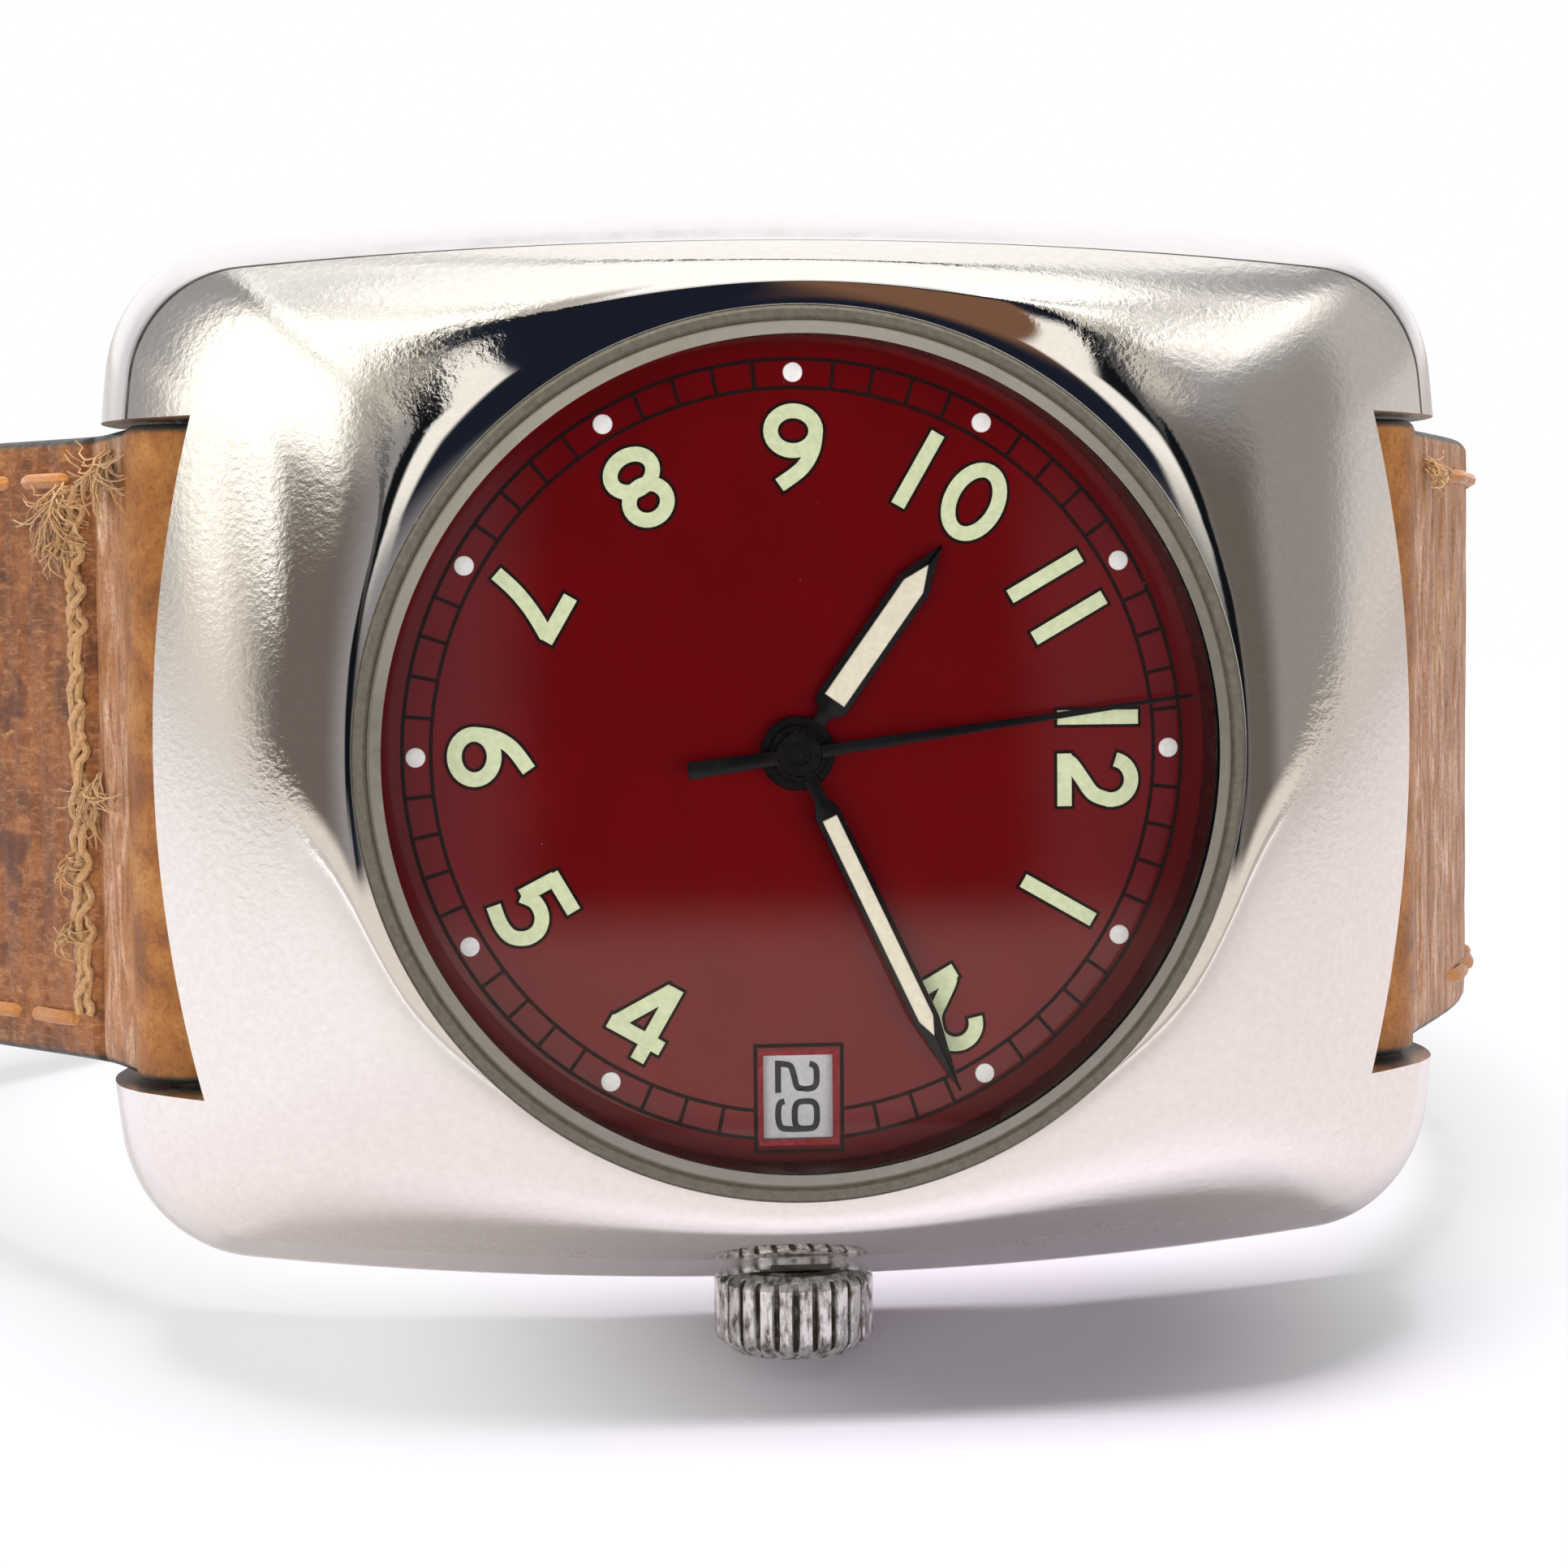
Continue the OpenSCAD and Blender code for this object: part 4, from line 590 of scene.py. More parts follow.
def strap_leather():
    """Raw tan at the fold, wrinkled pinkish brown beyond it, reddish flap, dark painted edges."""
    look = Look("strap_leather")
    along = look.value("along")
    edge = look.value("edge")
    flap = look.value("flap")
    pores = look.noise(7.0, 6, (1, 1, 1), 0.7)
    patch = look.noise(0.55, 5, (1, 1, 1), 0.65, 0.4)
    creases = look.noise(1.2, 7, (0.3, 1.9, 1.9), 0.72, 0.9)
    fibres = look.noise(3.0, 6, (1.6, 0.5, 0.5), 0.75, 0.8)
    raw = look.ramp(patch, [(0.25, srgb(102, 58, 22)), (0.5, srgb(152, 96, 40)), (0.8, srgb(192, 140, 78))])
    worn = look.ramp(creases, [(0.3, srgb(96, 58, 34)), (0.45, srgb(160, 112, 74)),
                               (0.58, srgb(198, 158, 128)), (0.75, srgb(236, 212, 196))])
    dark = look.ramp(patch, [(0.25, srgb(72, 38, 20)), (0.5, srgb(122, 72, 34)), (0.8, srgb(168, 110, 58))])
    shine = look.blend(look.band(fibres, 0.45, 0.75), dark, srgb(178, 126, 80))
    streaks = look.band(look.noise(0.8, 4, (0.3, 1.6, 1.6), 0.6, 0.6), 0.4, 0.6, 0.45, 1.0)
    beyond = look.band(along, CREASE_AT - 0.5, CREASE_AT - 0.05)
    wide = look.blend(look.times(beyond, streaks), raw, worn)
    blot = look.band(look.noise(0.42, 3, (1, 1, 1), 0.5, 0.5), 0.6, 0.7, 0, 0.75)
    skin = look.blend(flap, wide, look.blend(blot, shine, srgb(70, 32, 24)))
    skin = look.blend(look.band(pores, 0.3, 0.55, 0.4, 0.0), skin, srgb(46, 25, 14))
    colour = look.blend(edge, skin, srgb(28, 30, 24))
    height = look.math("ADD", look.times(pores, 0.35), creases)
    rough = look.band(pores, 0.2, 0.8, 0.6, 0.42)
    look.surface(Base_Color=colour, Roughness=rough, Normal=look.bump(height, 0.6, 0.16),
                 Specular_IOR_Level=0.45, Coat_Weight=0.25, Coat_Roughness=0.25)
    return look.material


def waxed_thread(name, low, high):
    look = Look(name)
    twist = look.noise(9.0, 4, (1, 1, 1), 0.6)
    tone = look.ramp(twist, [(0.25, srgb(*low)), (0.8, srgb(*high))])
    look.surface(Base_Color=tone, Roughness=0.6, Normal=look.bump(twist, 0.5, 0.06))
    look.surface(Sheen_Weight=0.25)
    return look.material


# ---------- case ----------

def bend(y):
    return y * y / (2 * WRIST_BEND)


# Steps along a side, a corner and an end of the case, for a quarter of its outline
SIDE_STEPS = 54
CORNER_STEPS = 18
END_STEPS = 14


def quarter_outline(a, b, rc):
    p1 = Vector((a - SIDE_ARC, 0))
    p2 = Vector((0, b - END_ARC))
    gap = (p2 - p1).length
    u = (p2 - p1) / gap
    r1 = SIDE_ARC - rc
    r2 = END_ARC - rc
    k = (r1 * r1 - r2 * r2 + gap * gap) / (2 * gap)
    c = p1 + u * k + Vector((-u.y, u.x)) * math.sqrt(r1 * r1 - k * k)
    a1 = math.degrees(math.atan2(c.y, c.x - a + SIDE_ARC))
    a2 = math.degrees(math.atan2(c.y - b + END_ARC, c.x))
    points = []
    for i in range(SIDE_STEPS):
        x, y = polar(SIDE_ARC, a1 * i / SIDE_STEPS)
        points.append((a - SIDE_ARC + x, y))
    for i in range(CORNER_STEPS):
        x, y = polar(rc, mix(a1, a2, i / CORNER_STEPS))
        points.append((c.x + x, c.y + y))
    for i in range(END_STEPS + 1):
        x, y = polar(END_ARC, mix(a2, 90, i / END_STEPS))
        points.append((x, b - END_ARC + y))
    return points


def outline(inset_by):
    q = quarter_outline(HALF_W - inset_by, HALF_L - inset_by, CORNER - inset_by * 0.6)
    n = len(q) - 1
    return ([q[i] for i in range(n)] + [(-q[i][0], q[i][1]) for i in range(n, 0, -1)]
            + [(-q[i][0], -q[i][1]) for i in range(n)] + [(q[i][0], -q[i][1]) for i in range(n, 0, -1)])


FLANK = [(0.75, -CASE_DEPTH), (0.3, -CASE_DEPTH + 0.5), (0.08, -3.7), (0, -2.6), (0.12, -1.4),
         (0.45, -0.3), (RIDGE_INSET, RIDGE_HEIGHT)]
COLLAR = CRYSTAL_BORE + 0.05
COLLAR_LEVEL = 2.62
FACE_STEPS = 26
FACE_POWER = 1.7
SIDE_POWER = 0.9
# Finishes: satin, polished, and dark steel that is painted shade.
SATIN, POLISH, PAINTED_SHADE = 0, 1, 2


def case_rings():
    """Rings from the underside up to the crystal's seat, each with its finish; the first ring above the
    ridge is a thin line of painted shade.
    """
    rings = [([p + (-CASE_DEPTH - bend(p[1]),) for p in outline(2.6)], POLISH)]
    for d, z in spline(FLANK, 4):
        rings.append(([p + (z - bend(p[1]),) for p in outline(d)], POLISH))
    ridge = outline(RIDGE_INSET)
    for step in range(FACE_STEPS):
        f = 1 - step / (FACE_STEPS - 1)
        if step == 0:
            f = 0.99
        ring = []
        for p in ridge:
            turn = math.atan2(p[1], p[0])
            low = p + (RIDGE_HEIGHT - bend(p[1]),)
            x, y, _ = mixed((COLLAR * math.cos(turn), COLLAR * math.sin(turn), 0), low, f)
            power = FACE_POWER + SIDE_POWER * math.cos(turn) ** 2
            ring.append((x, y, COLLAR_LEVEL - (COLLAR_LEVEL - low[2]) * f ** power))
        # Painted shade: a thin dark line just above the ridge.
        rings.append((ring, PAINTED_SHADE if step == 0 else SATIN))
    angles = [math.atan2(p[1], p[0]) for p in ridge]
    for r, z in ((CRYSTAL_BORE, COLLAR_LEVEL - 0.03), (CRYSTAL_BORE - 1, COLLAR_LEVEL - 0.04)):
        rings.append(([polar(r, math.degrees(a)) + (z,) for a in angles], POLISH))
    return rings


def revolved(profile, steps=192):
    """A closed turned body from (radius, z) pairs, with flat ends."""
    rings = [[polar(r, 360 * i / steps) + (z,) for i in range(steps)] for r, z in profile]
    return loft(rings, caps=True)


def notch(side):
    arc = ((LUG_SPACE / 2) ** 2 + HOOD_SAG ** 2) / (2 * HOOD_SAG)
    half = LUG_SPACE / 2
    edge = []
    for i in range(41):
        x = mix(-half, half, i / 40)
        edge.append((x * side, (HOOD_MID - arc + math.sqrt(arc * arc - x * x)) * side))
    shape = edge + [(half * side, 30 * side), (-half * side, 30 * side)]
    return prism(shape, -20, 10)


def along_x(r, x0, x1, y, z, steps=48):
    rings = []
    for x in (x0, x1):
        rings.append([(x, y + a, z + b) for a, b in (polar(r, 360 * i / steps) for i in range(steps))])
    return loft(rings, caps=True)


def block(x0, x1, y0, y1, z0, z1):
    return prism([(x0, y0), (x1, y0), (x1, y1), (x0, y1)], z0, z1)


TURN_STEPS = 192
CAVITY_RADIUS = 13.9
THREAD_RADIUS = 14.2
THREAD_LEVEL = -4.67
BACK_SEAT_RADIUS = 14.9
FOLD_GAP = 0.3
BAR_PIN_RADIUS = 0.45
BAR_PIN_DEPTH = 1.2
TUBE_BORE = 1.26
TUBE_FROM = 12
TUBE_TO = 22
CROWN_GAP = 0.12
FAR = 10


def build_case(satin, polish, inner):
    rings = case_rings()
    low = rings[0][0]
    shape = loft([r for r, _ in rings], caps=True)
    piece = mesh_object("case_shell", shape)
    count = len(low)
    for index, polygon in enumerate(piece.data.polygons):
        row = index // count + 1
        finish = rings[row][1] if row < len(rings) else POLISH
        # Painted shade: the thin line above the ridge stays dark only where x is not above zero, on the 9
        # o'clock half.
        polygon.material_index = SATIN if finish == PAINTED_SHADE and polygon.center.x > 0 else finish
    bore = revolved([(REHAUT_BORE + 0.01, -0.2), (REHAUT_BORE + 0.13, REHAUT_TOP),
                     (CRYSTAL_BORE, REHAUT_TOP), (CRYSTAL_BORE, FAR)])
    cavity = revolved([(DIAL_RADIUS + 0.1, 0), (DIAL_RADIUS + 0.1, -DIAL_THICKNESS),
                       (CAVITY_RADIUS, -DIAL_THICKNESS), (CAVITY_RADIUS, THREAD_LEVEL),
                       (THREAD_RADIUS, THREAD_LEVEL), (THREAD_RADIUS, -CASE_DEPTH),
                       (BACK_SEAT_RADIUS, -CASE_DEPTH), (BACK_SEAT_RADIUS, -2 * FAR)])
    cutters = [bore, cavity]
    for side in (1, -1):
        fold = FOLD_RADIUS + FOLD_GAP
        cutters.append(notch(side))
        cutters.append(along_x(fold, -LUG_SPACE / 2, LUG_SPACE / 2, side * BAR_REACH, -BAR_DEPTH, 64))
        y0, y1 = sorted((side * (BAR_REACH - fold), side * (BAR_REACH - fold + FAR)))
        cutters.append(block(-LUG_SPACE / 2, LUG_SPACE / 2, y0, y1, -BAR_DEPTH - FAR, -BAR_DEPTH))
        cutters.append(along_x(BAR_PIN_RADIUS, -LUG_SPACE / 2 - BAR_PIN_DEPTH,
                               LUG_SPACE / 2 + BAR_PIN_DEPTH, side * BAR_REACH, -BAR_DEPTH, 24))
    cutters.append(along_x(CROWN_RADIUS + CROWN_GAP, CROWN_SEAT, CROWN_SEAT + FAR, 0, STEM_Z))
    cutters.append(along_x(TUBE_BORE, TUBE_FROM, TUBE_TO, 0, STEM_Z))
    cut(piece, cutters)
    # Painted shade: the bore wall under the crystal and the crown's well take the dark steel.
    for polygon in piece.data.polygons:
        x, y, z = polygon.center
        in_bore = math.hypot(x, y) < CRYSTAL_BORE - 0.02 and -0.4 < z < REHAUT_TOP + 0.05
        by_crown = x > 14 and math.hypot(y, z - STEM_Z) < CROWN_RADIUS + CROWN_GAP + 0.01
        if in_bore or by_crown:
            polygon.material_index = PAINTED_SHADE
    # inner is steel painted dark as shade; the rehaut ring below is dressed in it too.
    dress(piece, [satin, polish, inner], "case", ["case_body"], 24)
    wall = lathe([(REHAUT_BORE - 0.05, 0.02), (REHAUT_BORE, 0.02), (REHAUT_BORE, REHAUT_TOP - 0.02),
                  (REHAUT_BORE - 0.05, REHAUT_TOP - 0.02)], TURN_STEPS)
    make("rehaut_ring", wall, inner, "case", ["case_body"])


BEVEL = 0.42


def build_crystal(clear, edge):
    top = CRYSTAL_TOP
    profile = [(0.02, REHAUT_TOP + 0.01), (CRYSTAL_RADIUS, REHAUT_TOP + 0.01), (CRYSTAL_RADIUS, top - 0.3),
               (CRYSTAL_RADIUS - 0.08, top - 0.18), (CRYSTAL_RADIUS - BEVEL, top), (0.02, top)]
    piece = mesh_object("crystal_disc", revolved(profile, TURN_STEPS))
    for index, polygon in enumerate(piece.data.polygons):
        row = index // TURN_STEPS
        polygon.material_index = 1 if row in (1, 2, 3) else 0
    dress(piece, [clear, edge], "case", ["crystal"], 20)


def build_gasket(rubber):
    inner = CRYSTAL_RADIUS + 0.01
    outer = CRYSTAL_BORE - 0.01
    top = CRYSTAL_TOP - 0.25
    shape = lathe([(inner, REHAUT_TOP + 0.01), (outer, REHAUT_TOP + 0.01), (outer, top - 0.12),
                   (outer - 0.1, top), (inner + 0.1, top), (inner, top - 0.1)], 160)
    make("crystal_seal", shape, rubber, "case", ["crystal_gasket"])


CROWN_CHAMFER = 0.5
FLUTE_DEPTH = 0.24
CROWN_HOLLOW = 1.5
STEM_SOCKET = 0.46


def build_crown(metal):
    """Fluted crown; a value on each point marks real dirt in the flutes and painted shade at the chamfer by
    the case and inside the hollow.
    """
    profile = []
    length = CROWN_END - CROWN_START
    for x in (0, 0.12, 0.24, 0.36, 0.5, 0.75, 1.1, 1.5, 1.9, 2.15, 2.3, 2.42, 2.52, 2.62, 2.7):
        from_end = min(x, length - x)
        limit = CROWN_RADIUS - CROWN_CHAMFER * (1 - min(from_end / CROWN_CHAMFER, 1)) ** 1.2
        profile.append((x, limit))
    flute = [(0, 0), (0.1, 0), (0.2, 0.02), (0.3, 0.06), (0.35, 0.3), (0.4, 0.85), (0.45, 1), (0.5, 1),
             (0.55, 1), (0.6, 0.85), (0.65, 0.3), (0.7, 0.06), (0.8, 0.02), (0.9, 0)]
    rings = []
    grooves = []
    steps = CROWN_FLUTES * len(flute)

    def circle(r, x):
        return [(x,) + polar(r, 360 * (i // len(flute) + flute[i % len(flute)][0]) / CROWN_FLUTES)
                for i in range(steps)]
    inside = [(STEM_SOCKET, 1.85), (STEM_SOCKET, CROWN_HOLLOW), (1.8, CROWN_HOLLOW), (1.8, 0.0),
              (CROWN_RADIUS - CROWN_CHAMFER - 0.12, -0.0)]
    for r, x in inside:
        rings.append(circle(r, x))
        # Inside the hollow the value is painted shade.
        grooves += [0.6] * steps
    for x, limit in profile:
        ring = []
        for i, (px, py, pz) in enumerate(circle(1.0, x)):
            depth = flute[i % len(flute)][1]
            floor = CROWN_RADIUS + 0.02 - FLUTE_DEPTH * depth
            r = min(limit, floor)
            ring.append((px, py * r, pz * r))
            in_groove = min(max((limit - floor) / 0.1, 0), 1)
            # Flute floors get real dirt; the chamfer next to the case gets painted shade, darkest in its
            # first tenth of a millimetre.
            grooves.append(max(depth * in_groove, 0.26 if x < 0.5 else 0, 0.9 if x < 0.1 else 0))
        rings.append(ring)
    for r, x in [(1.95, length), (1.7, length - 0.015), (1.55, length - 0.015), (0.02, length - 0.01)]:
        rings.append(circle(r, x))
        grooves += [0.15] * steps
    shape = loft(rings, caps=True)
    shape = moved(shape, lambda p: (p[0] + CROWN_START, p[1], p[2] + STEM_Z))
    piece = mesh_object("crown_knob", shape)
    mark(piece, groove=grooves)
    dress(piece, metal, "crown", ["crown"], 35)


# ---------- dial ----------

DATE_REACH = 10.6
DATE_LONG = 2.6
DATE_WIDE = 2.15
FRAME_LONG = 3.38
FRAME_WIDE = 2.78
TRACK_IN = 11.04
TRACK_OUT = 11.9
TRACK_LINE = 0.12
DOT_REACH = 11.5
NUMERAL_REACH = 9.3
DIAL_BORE = 1.08
NUMERAL_HEIGHT = 2.5
NUMERAL_STROKE = 0.44
NUMERAL_LINE = 0.2
PRINT_LIFT = 0.012
DOT_RADIUS = 0.3
WINDOW_BEVEL = 0.16
FOOT_REACH = 8.75


def arc(cx, cy, rx, ry, a0, a1, steps=20, square=1.0):
    """Part of an oval; a square value under 1 makes it boxier."""
    points = []
    for i in range(steps + 1):
        a = math.radians(mix(a0, a1, i / steps))
        c, d = math.cos(a), math.sin(a)
        points.append((cx + rx * math.copysign(abs(c) ** square, c),
                       cy + ry * math.copysign(abs(d) ** square, d)))
    return points


def digit(value, square=1.0):
    """Strokes of a numeral one unit high, as (path, closed); x is centred."""
    if value == 0:
        return [(arc(0, 0.5, 0.28, 0.415, 0, 360, 36, square)[:-1], True)]
    if value == 1:
        return [([(0, 0), (0, 1)], False)]
    if value == 2:
        top = arc(0, 0.665, 0.25, 0.25, 168, -8, 16, square)
        bends = [(0.245, 0.62), (0.17, 0.44), (-0.02, 0.30), (-0.2, 0.17), (-0.245, 0.075)]
        if square < 1:
            bends = [(0.245, 0.62), (0.2, 0.49), (0.0, 0.43), (-0.2, 0.36), (-0.25, 0.22), (-0.25, 0.085)]
        sweep = spline(bends, 5)
        return [(top + sweep[1:], False), ([(-0.325, 0.085), (0.32, 0.085)], False)]
    if value == 3:
        upper = arc(0, 0.715, 0.22, 0.2, 150, -80, 14, square)
        lower = arc(0, 0.3, 0.255, 0.215, 80, -150, 16, square)
        return [(upper, False), (lower, False)]
    if value == 4:
        return [([(0.15, 0), (0.15, 1)], False), ([(0.11, 0.955), (-0.3, 0.30)], False),
                ([(-0.385, 0.27), (0.345, 0.27)], False)]
    if value == 5:
        bowl = spline([(-0.215, 0.475), (-0.06, 0.575), (0.13, 0.555), (0.255, 0.43), (0.26, 0.26),
                       (0.15, 0.115), (-0.04, 0.08), (-0.28, 0.12)], 5)
        return [([(0.28, 0.915), (-0.255, 0.915)], False), ([(-0.185, 0.93), (-0.205, 0.47)], False),
                (bowl, False)]
    if value == 6:
        bends = [(-0.275, 0.33), (-0.235, 0.56), (-0.1, 0.78), (0.17, 0.98)]
        if square < 1:
            bends = [(-0.275, 0.33), (-0.275, 0.66), (-0.24, 0.85), (-0.08, 0.915), (0.12, 0.915),
                     (0.25, 0.87), (0.28, 0.78)]
        tail = spline(bends, 6)
        return [(arc(0, 0.325, 0.275, 0.24, 0, 360, 30, square)[:-1], True), (tail, False)]
    if value == 7:
        return [([(-0.3, 0.915), (0.315, 0.915)], False),
                (spline([(0.25, 0.9), (0.08, 0.6), (-0.04, 0.3), (-0.11, 0)], 5), False)]
    if value == 8:
        return [(arc(0, 0.7, 0.235, 0.215, 0, 360, 28, square)[:-1], True),
                (arc(0, 0.3, 0.27, 0.215, 0, 360, 28, square)[:-1], True)]
    flipped = []
    for path, closed in digit(6, square):
        flipped.append(([(-x, 1 - y) for x, y in path], closed))
    return flipped


def numeral(text, height, spacing, centre, right, up, width, z, lift, extend=0.0, square=1.0,
            wide=1.0):
    """A number as raised strokes; right and up are its directions on the dial."""
    shapes = []
    for place, letter in enumerate(text):
        shift = (place - (len(text) - 1) / 2) * spacing
        if letter == "1" and wide > 1:
            shift += 0.12
        for number, (path, closed) in enumerate(digit(int(letter), square)):
            spots = []
            for gx, gy in path:
                across = gx * height * wide + shift
                rise = (gy - 0.5) * height
                spots.append((centre[0] + right[0] * across + up[0] * rise,
                              centre[1] + right[1] * across + up[1] * rise))
            top = z + lift + 0.002 * number
            shapes.append(ribbon(spots, width, z, top, closed, extend))
    return joined(shapes)


def hour_numerals(width, z, lift, extend=0.0):
    shapes = []
    spacing = {10: 1.98, 11: 1.48, 12: 1.92}
    for hour in (1, 2, 4, 5, 6, 7, 8, 9, 10, 11, 12):
        out = clock(hour * 5, 1)
        turn = 1 if hour in (9, 10, 11, 12, 1, 2) else -1
        right = (out[1] * turn, -out[0] * turn)
        up = (out[0] * turn, out[1] * turn)
        centre = clock(hour * 5, NUMERAL_REACH)
        shapes.append(numeral(str(hour), NUMERAL_HEIGHT, spacing.get(hour, 0), centre, right, up,
                              width, z, lift, extend))
    return joined(shapes)


def in_frame(minute):
    return abs(minute - 15) < 1.3


def minute_track(z, lift):
    shapes = []
    for r in (TRACK_IN, TRACK_OUT):
        stop = math.degrees(math.asin(FRAME_WIDE / 2 / r))
        path = [polar(r, mix(stop, 360 - stop, i / 240)) for i in range(241)]
        shapes.append(ribbon(path, TRACK_LINE, z, z + lift))
    for minute in range(60):
        if minute % 5 and not in_frame(minute):
            shapes.append(ribbon([clock(minute, TRACK_IN), clock(minute, TRACK_OUT)], TRACK_LINE, z,
                                 z + lift + 0.002))
    return joined(shapes)


def frame_outline(long, wide):
    x0 = DATE_REACH - long / 2
    x1 = DATE_REACH + long / 2
    return [(x0, -wide / 2), (x1, -wide / 2), (x1, wide / 2), (x0, wide / 2)]


def build_dial(red, dark, lume, white, edge):
    base = revolved([(0.02, -DIAL_THICKNESS), (DIAL_RADIUS, -DIAL_THICKNESS), (DIAL_RADIUS, -0.03),
                     (DIAL_RADIUS - 0.05, 0), (0.02, 0)], 160)
    plate = mesh_object("dial_face", base)
    hole = frame_outline(DATE_LONG, DATE_WIDE)
    flare = loft([[p + (-1,) for p in hole], [p + (-WINDOW_BEVEL,) for p in hole],
                  [p + (0.0,) for p in inset(anticlockwise(hole), -WINDOW_BEVEL)],
                  [p + (1,) for p in inset(anticlockwise(hole), -WINDOW_BEVEL - 0.1)]],
                 caps=True)
    feet = []
    for a in (48, 228):
        feet.append(disc(polar(FOOT_REACH, a), 0.35, -DIAL_THICKNESS - 0.5, -DIAL_THICKNESS, 0, 20))
    cut(plate, [flare, disc((0, 0), DIAL_BORE, -5, 1)])
    # edge is the paler red of the cut faces, partly a painted highlight on the window's bevel.
    dress(plate, [red, edge], "case", ["dial_plate"], 30)
    make("dial_feet", joined(feet), edge, "case", ["dial_plate"])
    window = inset(anticlockwise(frame_outline(FRAME_LONG, FRAME_WIDE)), TRACK_LINE / 2)
    outlines = hour_numerals(NUMERAL_STROKE + NUMERAL_LINE, 0, PRINT_LIFT, NUMERAL_LINE / 2)
    make("dial_print_dark", joined([minute_track(0, PRINT_LIFT),
                                    ribbon(window, TRACK_LINE, 0, 0.014, True), outlines]),
         dark, "case")
    make("dial_numerals", hour_numerals(NUMERAL_STROKE, 0.01, 0.05), lume, "case")
    dots = [disc(clock(5 * hour, DOT_REACH), DOT_RADIUS, 0, 0.06, 0.04, 24)
            for hour in range(1, 13) if hour != 3]
    make("dial_dots", joined(dots), white, "case")


DATE_DIGIT = 1.44
DATE_STROKE = 0.185
DAYS = 31
DAY_SHOWN = 29
RING_INNER = 9.6
TOOTH_TIP = 9.15
RING_OUTER = 12.3
SKIRT_INNER = 9.22
RING_THICKNESS = 0.4


def build_date_ring(white, ink):
    """The ring of days under the dial; 29 stands in the window."""
    inner = []
    for i in range(DAYS):
        for part, r in ((0.0, RING_INNER), (0.3, RING_INNER), (0.45, TOOTH_TIP), (0.55, TOOTH_TIP),
                        (0.7, RING_INNER)):
            inner.append(polar(r, 360 * (i + part) / DAYS))
    outer = [polar(RING_OUTER, math.degrees(math.atan2(y, x))) for x, y in inner]
    top = -DIAL_THICKNESS - 0.05
    low = top - RING_THICKNESS
    rings = [[p + (low,) for p in inner], [p + (top,) for p in inner],
             [p + (top,) for p in outer], [p + (low,) for p in outer]]
    # white is the disc's colour painted grey, painted shade under the dial, for the ring and its skirt.
    make("days_ring", loft(rings + rings[:1]), white, "date_ring", ["date_ring"])
    days = []
    count = len(inner)
    skirt = [polar(SKIRT_INNER, 360 * i / count) for i in range(count)]
    make("days_skirt", loft([[p + (z,) for p in ring] for ring, z in (
        (skirt, top), (inner, top), (inner, top - 0.03), (skirt, top - 0.03), (skirt, top))]), white,
         "date_ring")
    for day in range(1, DAYS + 1):
        angle = -360 / DAYS * (day - DAY_SHOWN)
        out = polar(1, angle)
        up = (-out[1], out[0])
        days.append(numeral(str(day), DATE_DIGIT, 1.2, polar(DATE_REACH, angle), out, up,
                            DATE_STROKE, top, 0.01, square=0.6, wide=1.08))
    make("days_print", joined(days), ink, "date_ring")


# ---------- hands ----------

SHOWN_MINUTE = 10.8
SHOWN_HOUR = 50 + SHOWN_MINUTE / 12
SHOWN_SECOND = 58.7
HOUR_LENGTH = 7.7
MINUTE_LENGTH = 11.45
SECONDS_LENGTH = 12.1
SECONDS_TAIL = 3.4


def turned(shape, minutes):
    a = math.radians(-6 * minutes)
    c, s = math.cos(a), math.sin(a)
    return moved(shape, lambda p: (p[0] * c - p[1] * s, p[0] * s + p[1] * c, p[2]))


def sword(start, width, length, point):
    half = width / 2
    return [(0.22, 0), (0.22, start - 0.35), (half, start), (half, length - point), (0.012, length),
            (-0.012, length), (-half, length - point), (-half, start), (-0.22, start - 0.35), (-0.22, 0)]


def blade(start, half, length, point, tip):
    shoulder = length - point
    return [(half, start), (half, shoulder), (0, length - tip), (-half, shoulder), (-half, start)]


def hub(r, hole, z0, z1):
    return lathe([(hole, z0), (r, z0), (r, z1 - 0.05), (r - 0.05, z1), (hole, z1)], 72)


def hand_blade(outline, z0, z1, bevel, bore):
    """A hand's blade, starting at its boss so that the pipe stays free."""
    kept = []
    for x, y in outline:
        kept.append((x, max(y, bore)))
    return prism(kept, z0, z1, bevel)


